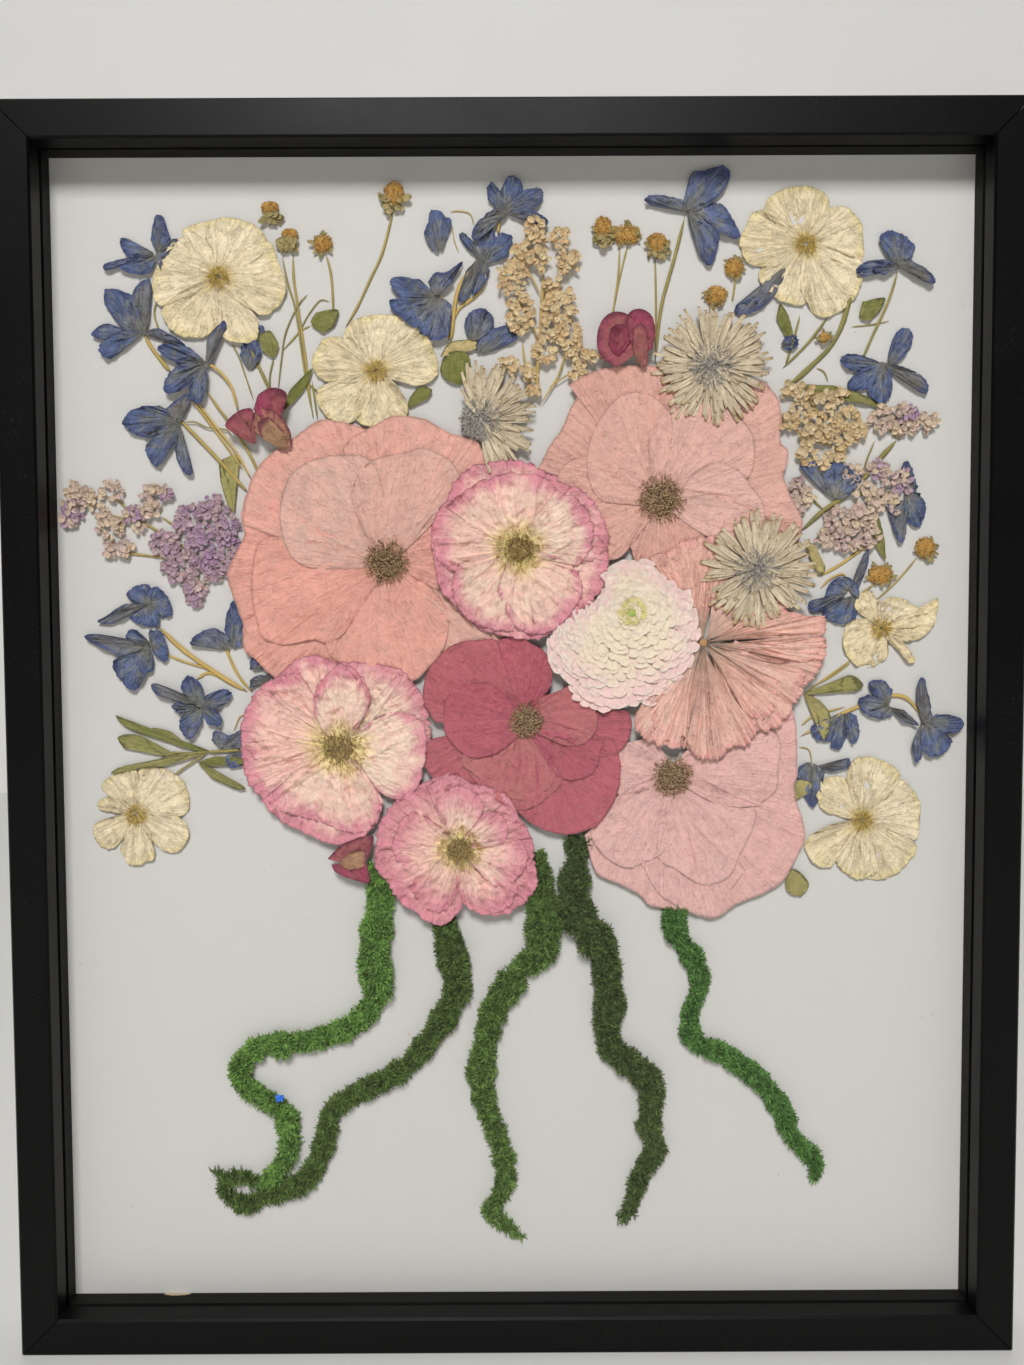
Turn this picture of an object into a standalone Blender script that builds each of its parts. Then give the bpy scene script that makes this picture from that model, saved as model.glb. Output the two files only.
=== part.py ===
"""Pressed flower frame: a deep black shadow box with pressed blooms and moss on a white board.

Run it with blender --background --python part.py, or from Blender's text editor. The model stands
upright with its front towards -Y. Sizes are in millimetres and are turned into metres when a mesh is
made. Places of the specimens are spots on the photograph, in its pixels, and spot() finds where each
lies on the board, as seen from the eye point given below.
"""

import math

import bmesh
import bpy
from mathutils import Matrix, Vector

MM = 0.001

# The frame: sizes of the moulding and of what it holds
SIGHT_WIDTH = 396.0
SIGHT_HEIGHT = 498.0
FACE_WIDTH = 16.0
FRAME_DEPTH = 35.0
LIP_DEPTH = 9.0
LIP_WIDTH = 5.5
EDGE_EASING = 0.9
MITRE_GAP = 0.3
GAP = 0.3
PANE_MARGIN = 5.0
GLASS_THICKNESS = 2.0
SPACER_DEPTH = 7.1
SPACER_THICKNESS = 4.7
BOARD_THICKNESS = 3.0
BACK_THICKNESS = 3.0
TAB_LENGTH = 26.0
TAB_WIDTH = 10.0
TAB_THICKNESS = 0.8
HANGER_WIDTH = 48.0
HANGER_HEIGHT = 14.0
HANGER_THICKNESS = 1.2
HANGER_TEETH = 9
HANGER_DROP = 30.0

OUTER_WIDTH = SIGHT_WIDTH + 2 * FACE_WIDTH
OUTER_HEIGHT = SIGHT_HEIGHT + 2 * FACE_WIDTH
FRONT_Y = -FRAME_DEPTH / 2
GLASS_FRONT_Y = FRONT_Y + LIP_DEPTH + GAP
GLASS_BACK_Y = GLASS_FRONT_Y + GLASS_THICKNESS
SPACER_FRONT_Y = GLASS_BACK_Y + GAP
BOARD_Y = SPACER_FRONT_Y + SPACER_DEPTH + GAP
BACK_PANEL_Y = BOARD_Y + BOARD_THICKNESS + GAP
TAB_Y = BACK_PANEL_Y + BACK_THICKNESS + GAP
MIDDLE = Vector((0, 0, OUTER_HEIGHT / 2))

# The eye that the photograph's pixels are read from, against the middle of the frame's front face
EYE_OFFSET = Vector((-1.5, -428.8, 44.1))
EYE_TURN = (math.radians(-0.05), math.radians(-2.54), math.radians(0.25))
FOCAL_PIXELS = 1025.0
PHOTO_MIDDLE = (512.0, 682.5)
EYE = Vector((0, FRONT_Y, 0)) + MIDDLE + EYE_OFFSET
VIEW = (
    Matrix.Rotation(EYE_TURN[0], 3, "Z")
    @ Matrix.Rotation(EYE_TURN[1], 3, "X")
    @ Matrix.Rotation(EYE_TURN[2], 3, "Y")
)

# Heights above the board at which the layers of the bouquet lie
LOW_LAYER = 0.3
MID_LAYER = 1.0
HIGH_LAYER = 1.65
POPPY_LAYER = 2.45
ROSE_LAYER = 3.6
TOP_LAYER = 4.75
CROWN_LAYER = 5.9
PETAL_THICKNESS = 0.4
PETAL_STEP = 0.05
BUTTON_HEIGHT = 1.7
PETAL_ROOT = 3.0
CREAM_STEP = 0.02
BLADE_STACK = 0.08
BLADE_THICKNESS = 0.36
BLADE_BASE = 0.35
BLADE_WIDEST = 0.62
BLADE_TIP = 0.4
RUFFLE_STEP = 0.2
RUFFLE_WAVE = 0.06
DISC_RADIUS = 8.5
DISC_HEIGHT = 1.2
RAY_ROOT = 0.42
RAYS_ROUND = 26
RAYS_SIDE = 18

# Colours of the plain materials
BLACK_SATIN = (0.012, 0.012, 0.013)
WHITE_CARD = (0.78, 0.77, 0.74)
KRAFT_BOARD = (0.36, 0.24, 0.13)
ZINC = (0.62, 0.62, 0.6)
CLEAR = (0.9, 0.95, 0.93)
CORAL = (0.80, 0.42, 0.35)
BLUSH = (0.78, 0.46, 0.43)
DEEP_ROSE = (0.50, 0.15, 0.20)
SHELL_PINK = (0.76, 0.46, 0.42)
RUFFLE_PINK = (0.74, 0.42, 0.42)
CREAM = (0.78, 0.71, 0.46)
PALE_CREAM = (0.82, 0.76, 0.60)
STRAW = (0.64, 0.52, 0.35)
DRY_BLUE = (0.11, 0.14, 0.28)
MAROON = (0.26, 0.06, 0.10)
LEAF_GREEN = (0.21, 0.21, 0.07)
HONEY = (0.66, 0.50, 0.24)
LILAC = (0.35, 0.22, 0.33)
MOSS_BRIGHT = (0.07, 0.19, 0.04)
MOSS_DARK = (0.03, 0.08, 0.02)


def remove_everything():
    """Start from an empty file."""
    for item in list(bpy.data.objects):
        bpy.data.objects.remove(item)


def new_collection(name):
    collection = bpy.data.collections.new(name)
    bpy.context.scene.collection.children.link(collection)
    return collection


def finish(name, colour, roughness=0.6, metallic=0.0, alpha=1.0):
    """A plain Principled material."""
    material = bpy.data.materials.new(name)
    material.use_nodes = True
    shader = material.node_tree.nodes["Principled BSDF"]
    shader.inputs["Base Color"].default_value = (*colour, 1.0)
    shader.inputs["Roughness"].default_value = roughness
    shader.inputs["Metallic"].default_value = metallic
    shader.inputs["Alpha"].default_value = alpha
    return material


def new_object(name, mesh, collection, material=None):
    item = bpy.data.objects.new(name, mesh)
    collection.objects.link(item)
    if material:
        item.data.materials.append(material)
    return item


def mesh_from(bm, name):
    """Turn a bmesh in millimetres into a mesh in metres with its faces pointing out."""
    bmesh.ops.recalc_face_normals(bm, faces=bm.faces[:])
    bmesh.ops.scale(bm, vec=(MM, MM, MM), verts=bm.verts[:])
    mesh = bpy.data.meshes.new(name)
    bm.to_mesh(mesh)
    bm.free()
    return mesh


def spot(pixel, lift):
    """The place, in mm, where the line of sight through a pixel meets the plane `lift` off the board."""
    across = (pixel[0] - PHOTO_MIDDLE[0]) / FOCAL_PIXELS
    up = (PHOTO_MIDDLE[1] - pixel[1]) / FOCAL_PIXELS
    ray = VIEW @ Vector((across, 1, up))
    place = EYE + ray * ((BOARD_Y - lift - EYE.y) / ray.y)
    return Vector((place.x, place.z))


def plate(outline, low, high):
    """A flat closed bmesh: an outline of (x, z) places, raised off the board from low to high."""
    bm = bmesh.new()
    corners = [bm.verts.new((x, BOARD_Y - low, z)) for x, z in outline]
    bm.faces.new(corners)
    raised = bmesh.ops.extrude_face_region(bm, geom=bm.faces[:])
    lifted = [part for part in raised["geom"] if isinstance(part, bmesh.types.BMVert)]
    bmesh.ops.translate(bm, vec=(0, low - high, 0), verts=lifted)
    return bm


def dome(centre, radius, low, height, segments=10):
    """A flattened ball, cut flat at its back: the button in the middle of a bloom."""
    bm = bmesh.new()
    bmesh.ops.create_uvsphere(bm, u_segments=segments, v_segments=6, radius=radius)
    lower = [v for v in bm.verts if v.co.z < 0.1 * radius]
    bmesh.ops.delete(bm, geom=lower, context="VERTS")
    rim = [edge for edge in bm.edges if edge.is_boundary]
    bmesh.ops.contextual_create(bm, geom=rim)
    floor = min(v.co.z for v in bm.verts)
    for v in bm.verts:
        rise = (v.co.z - floor) / (radius - floor) * height
        v.co = Vector((centre.x + v.co.x, BOARD_Y - low - rise, centre.y + v.co.y))
    return bm


def fuse(name, solids, collection, material):
    """Join overlapping closed solids into one body."""
    scratch = [new_object(f"{name}_{i}", mesh_from(bm, name), collection) for i, bm in enumerate(solids)]
    first = scratch[0]
    for other in scratch[1:]:
        union = first.modifiers.new("union", "BOOLEAN")
        union.operation = "UNION"
        union.object = other
    depsgraph = bpy.context.evaluated_depsgraph_get()
    mesh = bpy.data.meshes.new_from_object(first.evaluated_get(depsgraph))
    for item in scratch:
        bpy.data.objects.remove(item)
    mesh.name = name
    mesh.materials.clear()
    return new_object(name, mesh, collection, material)


def rail(name, length, side, collection, material):
    """One mitred rail of the moulding. side turns the bottom rail to its place round the frame."""
    section = [
        (0, EDGE_EASING), (EDGE_EASING, 0), (FACE_WIDTH - EDGE_EASING, 0), (FACE_WIDTH, EDGE_EASING),
        (FACE_WIDTH, LIP_DEPTH), (FACE_WIDTH - LIP_WIDTH, LIP_DEPTH),
        (FACE_WIDTH - LIP_WIDTH, FRAME_DEPTH), (0, FRAME_DEPTH),
    ]
    bm = bmesh.new()
    near = [bm.verts.new((-1, FRONT_Y + deep, inward)) for inward, deep in section]
    bm.faces.new(near)
    bmesh.ops.extrude_face_region(bm, geom=bm.faces[:])
    far = [v for v in bm.verts if v not in near]
    for end, corners in ((-1, near), (1, far)):
        for v in corners:
            v.co.x = end * (length / 2 - v.co.z - MITRE_GAP)
    half = OUTER_HEIGHT / 2 if side in (0, 2) else OUTER_WIDTH / 2
    bmesh.ops.translate(bm, vec=(0, 0, -half), verts=bm.verts[:])
    turn = Matrix.Rotation(math.radians(90 * side), 3, "Y")
    bmesh.ops.rotate(bm, matrix=turn, verts=bm.verts[:])
    bmesh.ops.translate(bm, vec=MIDDLE, verts=bm.verts[:])
    new_object(name, mesh_from(bm, name), collection, material)


def block(name, low, high, collection, material):
    """A plain rectangular piece between two corners."""
    bm = bmesh.new()
    bmesh.ops.create_cube(bm, size=1)
    bmesh.ops.scale(bm, vec=high - low, verts=bm.verts[:])
    bmesh.ops.translate(bm, vec=(low + high) / 2, verts=bm.verts[:])
    new_object(name, mesh_from(bm, name), collection, material)


def build_moulding(collection):
    satin = finish("black satin", BLACK_SATIN, 0.38)
    for side, name in enumerate(("rail_bottom", "rail_left", "rail_top", "rail_right")):
        length = OUTER_WIDTH if side in (0, 2) else OUTER_HEIGHT
        rail(name, length, side, collection, satin)


def build_spacers(collection):
    """Four strips that hold the glass off the board, flush with the lip's inner edge."""
    satin = finish("black spacer", BLACK_SATIN, 0.5)
    middle_y = SPACER_FRONT_Y + SPACER_DEPTH / 2
    beside = (SIGHT_WIDTH + SPACER_THICKNESS) / 2
    upright = Vector((SPACER_THICKNESS, SPACER_DEPTH, SIGHT_HEIGHT)) / 2
    level = Vector((SIGHT_WIDTH + 2 * SPACER_THICKNESS, SPACER_DEPTH, SPACER_THICKNESS)) / 2
    above = SIGHT_HEIGHT / 2 + GAP + SPACER_THICKNESS / 2
    for name, x, z, half in (
        ("spacer_left", -beside, 0, upright),
        ("spacer_right", beside, 0, upright),
        ("spacer_bottom", 0, -above, level),
        ("spacer_top", 0, above, level),
    ):
        centre = MIDDLE + Vector((x, middle_y, z))
        block(name, centre - half, centre + half, collection, satin)


def build_sheets(collection):
    """The pane, the white board and the back board."""
    clear = finish("clear glass", CLEAR, 0.03, 0, 0.2)
    card = finish("white card", WHITE_CARD, 0.9)
    kraft = finish("kraft board", KRAFT_BOARD, 0.85)
    for name, front, thickness, material in (
        ("glass", GLASS_FRONT_Y, GLASS_THICKNESS, clear),
        ("mount_board", BOARD_Y, BOARD_THICKNESS, card),
        ("back_board", BACK_PANEL_Y, BACK_THICKNESS, kraft),
    ):
        half = Vector((SIGHT_WIDTH / 2 + PANE_MARGIN, thickness / 2, SIGHT_HEIGHT / 2 + PANE_MARGIN))
        centre = MIDDLE + Vector((0, front + thickness / 2, 0))
        block(name, centre - half, centre + half, collection, material)


def build_tabs(collection):
    """A flat metal turn tab at the middle of each side, lying over the back board."""
    zinc = finish("zinc tab", ZINC, 0.35, 1.0)
    reach_x = SIGHT_WIDTH / 2 + PANE_MARGIN - TAB_LENGTH / 2
    reach_z = SIGHT_HEIGHT / 2 + PANE_MARGIN - TAB_LENGTH / 2
    for name, x, z, wide, tall in (
        ("tab_left", -reach_x, 0, TAB_LENGTH, TAB_WIDTH),
        ("tab_right", reach_x, 0, TAB_LENGTH, TAB_WIDTH),
        ("tab_bottom", 0, -reach_z, TAB_WIDTH, TAB_LENGTH),
        ("tab_top", 0, reach_z, TAB_WIDTH, TAB_LENGTH),
    ):
        centre = MIDDLE + Vector((x, TAB_Y + TAB_THICKNESS / 2, z))
        half = Vector((wide, TAB_THICKNESS, tall)) / 2
        block(name, centre - half, centre + half, collection, zinc)


def build_hanger(collection):
    """A flat steel plate with a toothed lower slot edge, fixed high on the back board."""
    top = MIDDLE.z + SIGHT_HEIGHT / 2 - HANGER_DROP - TAB_LENGTH
    half = HANGER_WIDTH / 2
    tooth = HANGER_WIDTH / HANGER_TEETH
    outline = [(half, top), (-half, top)]
    for i in range(HANGER_TEETH):
        left = -half + i * tooth
        outline += [(left, top - HANGER_HEIGHT), (left + tooth / 2, top - HANGER_HEIGHT + tooth / 2)]
    outline.append((half, top - HANGER_HEIGHT))
    bm = plate(outline, BOARD_Y - TAB_Y - HANGER_THICKNESS, BOARD_Y - TAB_Y)
    new_object("hanger", mesh_from(bm, "hanger"), collection, finish("hanger steel", ZINC, 0.4, 1.0))


# Blooms made of broad overlapping petals. Each petal is the line of its rim, from one edge round to the
# other; it narrows to the hub. The lowest petal comes first.
POPPY_LEFT_HUB = (387, 562)
POPPY_LEFT_PETALS = [
    [(262, 640), (240, 615), (229, 580), (238, 552), (244, 530), (247, 493), (258, 480)],
    [(243, 525), (247, 493), (262, 462), (288, 443), (318, 421), (340, 422), (368, 431), (380, 450)],
    [(243, 620), (244, 648), (274, 677), (300, 688), (345, 690)],
    [(446, 560), (478, 590), (497, 620), (500, 645), (450, 655)],
    [(345, 446), (366, 430), (396, 416), (424, 419), (447, 432), (476, 441), (488, 465), (480, 510)],
    [(472, 500), (480, 545), (462, 585), (425, 585)],
    [(326, 645), (342, 664), (370, 682), (418, 678), (442, 652), (448, 620), (430, 586), (408, 573)],
    [(270, 538), (253, 562), (251, 595), (262, 637), (284, 645), (313, 640), (337, 639), (358, 607), (378, 584)],
    [(366, 562), (325, 569), (295, 560), (281, 532), (283, 492), (305, 464), (345, 455), (378, 470)],
    [(373, 540), (353, 505), (358, 476), (385, 456), (422, 448), (452, 463), (460, 490), (428, 520)],
]
POPPY_RIGHT_HUB = (661, 499)
POPPY_RIGHT_PETALS = [
    [(537, 470), (549, 447), (562, 428), (577, 398), (610, 392)],
    [(569, 386), (592, 372), (630, 366), (656, 367), (690, 400)],
    [(715, 385), (757, 381), (779, 402), (780, 442), (788, 452), (784, 476), (797, 510), (800, 530), (785, 555)],
    [(590, 455), (570, 461), (553, 495), (565, 535), (590, 555), (622, 556), (648, 525)],
    [(632, 545), (645, 575), (680, 580), (710, 555), (725, 525)],
    [(640, 504), (605, 502), (587, 472), (587, 450), (603, 414), (635, 392), (665, 408), (672, 422)],
    [(657, 475), (648, 438), (672, 408), (705, 400), (748, 427), (754, 455), (740, 482)],
    [(682, 488), (708, 465), (738, 471), (762, 502), (760, 530), (720, 545)],
]
POPPY_PALE_HUB = (672, 776)
POPPY_PALE_PETALS = [
    [(584, 835), (597, 873), (640, 895), (680, 910), (715, 905), (745, 870)],
    [(700, 912), (735, 905), (785, 878), (805, 835), (795, 795), (797, 740), (785, 712)],
    [(640, 745), (618, 750), (616, 793), (640, 795)],
    [(618, 795), (590, 833), (600, 852), (628, 868), (657, 857), (678, 832), (682, 810)],
    [(657, 857), (700, 884), (732, 873), (745, 845), (756, 821), (750, 790)],
    [(690, 755), (735, 730), (775, 735), (778, 775), (765, 800), (720, 800)],
]
POPPY_ROSE_HUB = (526, 721)
POPPY_ROSE_PETALS = [
    [(452, 735), (430, 745), (426, 768), (440, 785), (475, 800), (505, 790)],
    [(515, 812), (545, 830), (580, 832), (612, 805), (621, 765), (612, 745)],
    [(598, 708), (626, 712), (630, 724), (618, 753), (590, 755)],
    [(480, 765), (505, 800), (541, 800), (562, 780), (558, 745)],
    [(550, 745), (600, 752), (590, 775), (560, 779), (540, 770)],
    [(428, 712), (423, 690), (435, 660), (455, 644), (497, 641), (515, 660)],
    [(497, 641), (535, 645), (552, 672), (543, 695), (535, 705)],
    [(541, 700), (572, 685), (597, 715), (588, 740), (558, 743), (541, 736)],
    [(513, 740), (490, 755), (460, 752), (444, 725), (445, 700), (478, 683), (510, 703)],
]
CARNATION_HUB = (703, 643)
CARNATION_PETALS = [
    [(658, 572), (650, 562), (680, 542), (718, 538), (716, 575)],
    [(745, 615), (780, 612), (822, 617), (824, 634), (800, 640)],
    [(790, 640), (825, 650), (818, 675), (803, 686)],
    [(757, 640), (820, 640), (808, 660), (785, 658)],
    [(765, 662), (800, 665), (803, 685), (790, 700), (775, 690)],
    [(757, 682), (785, 700), (780, 722), (757, 730), (742, 712)],
    [(745, 706), (757, 730), (745, 745), (716, 747), (712, 705)],
    [(713, 710), (720, 752), (700, 758), (685, 740)],
    [(690, 705), (682, 744), (655, 735), (652, 712)],
    [(672, 702), (657, 742), (641, 726), (646, 704)],
]

# Ruffled blooms: the outline, and how the folded layers stand inside it
ROSE_CENTRE_HUB = (519, 549)
ROSE_CENTRE_RIM = [
    (433, 540), (439, 508), (455, 480), (475, 465), (520, 461), (553, 478), (592, 500), (607, 532),
    (606, 575), (588, 605), (560, 630), (530, 640), (488, 628), (462, 618), (440, 590), (434, 565),
]
ROSE_LEFT_HUB = (340, 748)
ROSE_LEFT_RIM = [
    (242, 735), (251, 703), (275, 675), (310, 657), (347, 663), (388, 668), (415, 684), (424, 725),
    (419, 780), (395, 798), (380, 812), (357, 842), (325, 840), (280, 820), (250, 786),
]
ROSE_LOW_HUB = (460, 849)
ROSE_LOW_RIM = [
    (374, 855), (385, 815), (418, 785), (452, 773), (490, 788), (516, 810), (532, 838), (537, 878),
    (525, 903), (485, 914), (462, 908), (440, 925), (410, 908), (380, 876),
]
RANUNCULUS_HUB = (632, 613)
RANUNCULUS_RIM = [
    (547, 645), (552, 668), (575, 697), (600, 714), (645, 705), (675, 685), (698, 655), (698, 615),
    (680, 582), (650, 560), (612, 562), (603, 590), (570, 622),
]

# Asters: disc, centre of the rays, reach of the rays in mm
ASTERS = {
    "aster_upper": ((712, 366), 27.0, 0, 360),
    "aster_right": ((757, 570), 26.5, 0, 360),
    "aster_side": ((492, 418), 24.5, -75, 200),
}

# Flat cream flowers: hub and the rims of their petals
CREAM_FLOWERS = {
    "cream_top_left": ((218, 277), MID_LAYER, [
        [(172, 240), (188, 226), (222, 216), (252, 224), (272, 246), (272, 262)],
        [(270, 252), (286, 280), (284, 300), (262, 316), (240, 302)],
        [(240, 305), (256, 320), (254, 342), (232, 338), (212, 318)],
        [(166, 300), (168, 322), (180, 338), (212, 338), (222, 318)],
        [(176, 246), (158, 270), (153, 290), (168, 308), (190, 300)],
    ]),
    "cream_upper_left": ((376, 371), MID_LAYER, [
        [(342, 340), (352, 324), (376, 316), (405, 320), (418, 330), (410, 345)],
        [(410, 335), (432, 346), (438, 372), (420, 386), (396, 380)],
        [(345, 338), (322, 340), (312, 362), (325, 380), (352, 383)],
        [(352, 382), (322, 388), (318, 405), (340, 422), (362, 412)],
        [(355, 400), (352, 422), (388, 424), (408, 412), (396, 384)],
    ]),
    "cream_top_right": ((805, 244), LOW_LAYER, [
        [(762, 212), (780, 192), (812, 187), (829, 200), (828, 216)],
        [(822, 215), (848, 213), (862, 235), (860, 262), (842, 262)],
        [(770, 212), (752, 222), (740, 250), (752, 268), (776, 266)],
        [(766, 262), (757, 285), (778, 304), (804, 304), (810, 280)],
        [(800, 290), (825, 317), (848, 304), (860, 272), (845, 258)],
    ]),
    "cream_low_right": ((862, 820), LOW_LAYER, [
        [(850, 818), (822, 806), (818, 784), (842, 778), (855, 790)],
        [(845, 780), (855, 760), (880, 762), (898, 782), (885, 798)],
        [(890, 784), (914, 796), (920, 818), (914, 840), (890, 838)],
        [(905, 832), (914, 850), (893, 872), (868, 878), (862, 850)],
        [(880, 870), (858, 878), (840, 866), (840, 845)],
        [(850, 822), (820, 832), (808, 846), (822, 864), (846, 860)],
    ]),
    "cream_low_left": ((136, 815), LOW_LAYER, [
        [(120, 798), (105, 785), (120, 769), (138, 772)],
        [(136, 774), (160, 768), (184, 792), (187, 815), (165, 822)],
        [(126, 812), (103, 811), (102, 801), (122, 797)],
        [(122, 815), (97, 826), (102, 845), (116, 848), (130, 832)],
        [(128, 834), (124, 850), (132, 864), (154, 858), (152, 838)],
        [(150, 826), (175, 853), (189, 834), (180, 814)],
    ]),
    "cream_crumpled": ((880, 627), LOW_LAYER, [
        [(865, 622), (845, 628), (843, 648), (856, 666), (880, 666), (889, 650)],
        [(874, 618), (856, 604), (864, 593), (880, 600)],
        [(880, 598), (905, 600), (922, 618), (905, 630)],
        [(900, 612), (930, 608), (924, 634), (905, 640)],
        [(886, 640), (902, 662), (913, 659), (896, 636)],
    ]),
}

# Small flowers: blades as (base, tip, width in mm) and stalks as (points, width in mm)
SMALL_FLOWERS = {
    "delphinium_corner": (LOW_LAYER, DRY_BLUE, [
        ((158, 252), (160, 217), 8), ((152, 252), (121, 245), 10), ((155, 258), (104, 268), 6),
        ((158, 254), (140, 274), 13),
    ], []),
    "delphinium_far_left": (LOW_LAYER, DRY_BLUE, [
        ((146, 338), (148, 283), 8), ((143, 333), (108, 291), 12), ((140, 330), (93, 336), 7),
        ((138, 330), (110, 357), 9),
        ((136, 332), (186, 345), 6),
    ], [([(141, 332), (158, 356), (171, 374)], 1.6)]),
    "delphinium_left": (HIGH_LAYER, DRY_BLUE, [
        ((206, 362), (160, 350), 9), ((208, 362), (165, 388), 13), ((202, 362), (196, 403), 8),
        ((204, 368), (226, 322), 5),
    ], [([(203, 362), (222, 375), (234, 396)], 1.2)]),
    "delphinium_bundle": (MID_LAYER, DRY_BLUE, [
        ((178, 416), (128, 421), 11), ((176, 424), (126, 430), 5), ((174, 418), (152, 465), 11),
        ((176, 418), (192, 473), 7),
        ((176, 426), (186, 393), 6),
    ], [([(177, 418), (220, 463), (240, 484)], 1.6)]),
    "delphinium_top": (MID_LAYER, DRY_BLUE, [
        ((504, 214), (488, 186), 7), ((504, 214), (513, 177), 10), ((500, 212), (541, 191), 10),
        ((498, 214), (545, 222), 8),
    ], [([(508, 212), (484, 222), (474, 238)], 3.2), ([(501, 212), (498, 236)], 1.4)]),
    "delphinium_pair": (LOW_LAYER, DRY_BLUE, [
        ((484, 264), (459, 234), 5), ((486, 266), (486, 227), 8), ((482, 264), (510, 236), 9),
        ((484, 256), (466, 302), 7),
        ((486, 256), (482, 290), 7), ((440, 297), (392, 281), 10), ((436, 298), (459, 263), 4),
        ((440, 292), (414, 332), 15),
        ((436, 290), (434, 334), 10),
    ], [([(474, 280), (457, 304), (450, 342)], 2.2), ([(438, 294), (444, 325), (451, 342)], 1.6)]),
    "delphinium_top_right": (MID_LAYER, DRY_BLUE, [
        ((686, 214), (693, 174), 6), ((684, 216), (724, 168), 12), ((684, 210), (740, 238), 9),
        ((684, 206), (710, 264), 9),
    ], [([(690, 211), (662, 200), (646, 204)], 2.6), ([(687, 210), (672, 275), (657, 352)], 1.5)]),
    "delphinium_upper_right": (MID_LAYER, DRY_BLUE, [
        ((897, 270), (895, 232), 14), ((902, 266), (857, 271), 6), ((892, 262), (933, 280), 4),
    ], [([(898, 262), (885, 310), (866, 352)], 1.2)]),
    "delphinium_right": (LOW_LAYER, DRY_BLUE, [
        ((884, 370), (905, 328), 8), ((890, 376), (842, 352), 5), ((890, 368), (849, 390), 8),
        ((882, 350), (886, 402), 12),
        ((882, 364), (926, 389), 4.5),
    ], []),
    "delphinium_branch_left": (LOW_LAYER, DRY_BLUE, [
        ((156, 610), (130, 592), 10), ((148, 614), (152, 586), 12), ((142, 600), (171, 614), 12),
        ((150, 592), (152, 626), 12),
        ((136, 604), (98, 621), 3), ((148, 622), (150, 664), 14), ((148, 650), (133, 690), 12),
        ((150, 655), (114, 668), 9),
        ((144, 645), (87, 636), 4.5),
    ], [([(150, 615), (196, 654), (246, 690)], 2.2)]),
    "delphinium_star": (MID_LAYER, DRY_BLUE, [
        ((204, 708), (186, 677), 8), ((198, 706), (231, 694), 6.5), ((204, 704), (188, 737), 8),
        ((200, 706), (222, 722), 7),
        ((200, 704), (152, 685), 3.5),
    ], []),
    "delphinium_branch_right": (LOW_LAYER, DRY_BLUE, [
        ((846, 706), (812, 728), 6), ((844, 708), (834, 747), 5.5), ((842, 708), (855, 743), 6),
        ((896, 704), (861, 708), 9),
        ((888, 700), (868, 682), 8), ((918, 722), (920, 680), 4), ((916, 720), (962, 721), 8),
        ((916, 718), (936, 754), 11),
        ((916, 716), (917, 758), 3.5),
    ], [([(812, 730), (862, 704), (892, 694), (918, 718)], 2.0)]),
    "chamomile_tall": (LOW_LAYER, HONEY, [
        ((396, 206), (385, 186), 8), ((395, 206), (404, 186), 8), ((393, 206), (394, 180), 9),
    ], [([(395, 200), (384, 240), (368, 282), (346, 326)], 1.1)]),
    "bud_sprig": (MID_LAYER, LEAF_GREEN, [
        ((216, 752), (118, 716), 3), ((214, 752), (152, 728), 2.5), ((182, 757), (118, 737), 9),
        ((214, 748), (130, 778), 4),
        ((196, 752), (243, 787), 4), ((200, 756), (240, 758), 3.5),
    ], [([(200, 751), (236, 749)], 1.4)]),
    "dried_sprig": (HIGH_LAYER, HONEY, [
        ((541, 246), (534, 214), 4), ((541, 250), (553, 228), 5), ((541, 262), (560, 232), 5),
        ((541, 272), (532, 246), 6),
        ((541, 282), (572, 252), 6), ((540, 296), (512, 245), 6), ((539, 310), (504, 262), 9),
        ((541, 320), (566, 292), 10),
        ((538, 330), (520, 298), 10),
    ], [([(541, 240), (540, 290), (537, 352)], 1.4)]),
    "cream_cluster": (MID_LAYER, PALE_CREAM, [
        ((820, 430), (784, 410), 15), ((818, 424), (800, 392), 12), ((820, 436), (790, 446), 12),
        ((816, 428), (836, 400), 13),
        ((818, 432), (866, 416), 13), ((820, 428), (856, 442), 12), ((824, 420), (818, 464), 12),
    ], []),
    "statice_left": (LOW_LAYER, LILAC, [
        ((106, 520), (67, 496), 11), ((106, 522), (69, 528), 11), ((108, 524), (84, 476), 10),
        ((128, 528), (104, 486), 9),
        ((126, 526), (104, 552), 7), ((150, 528), (144, 484), 8), ((150, 530), (172, 494), 6),
        ((205, 530), (196, 512), 11),
        ((205, 530), (234, 528), 13), ((206, 534), (214, 500), 9), ((190, 540), (154, 534), 8),
        ((208, 530), (222, 576), 13),
        ((190, 535), (176, 578), 10), ((190, 540), (200, 602), 9),
    ], [([(94, 514), (150, 528), (208, 536)], 2.0)]),
    "statice_right": (HIGH_LAYER, LILAC, [
        ((886, 446), (874, 412), 9), ((892, 444), (904, 402), 10), ((888, 446), (934, 426), 8),
        ((856, 482), (848, 466), 8),
        ((858, 484), (884, 474), 9), ((858, 494), (908, 478), 9), ((864, 494), (884, 506), 10),
        ((824, 512), (858, 508), 13),
        ((822, 510), (880, 530), 10), ((828, 508), (846, 548), 12),
    ], [([(810, 520), (852, 486), (897, 436)], 2.0)]),
}

# The petal of a maroon snapdragon: lobes and its tube
SNAPDRAGONS = {
    "snapdragon_left": [((266, 424), (228, 422), 12), ((264, 422), (280, 390), 12), ((262, 408), (266, 440), 16)],
    "snapdragon_top": [((630, 346), (598, 326), 12), ((632, 350), (628, 312), 18), ((630, 346), (652, 328), 13)],
    "snapdragon_low": [((362, 846), (327, 857), 10), ((358, 842), (344, 872), 10), ((356, 842), (362, 874), 10)],
}

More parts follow.
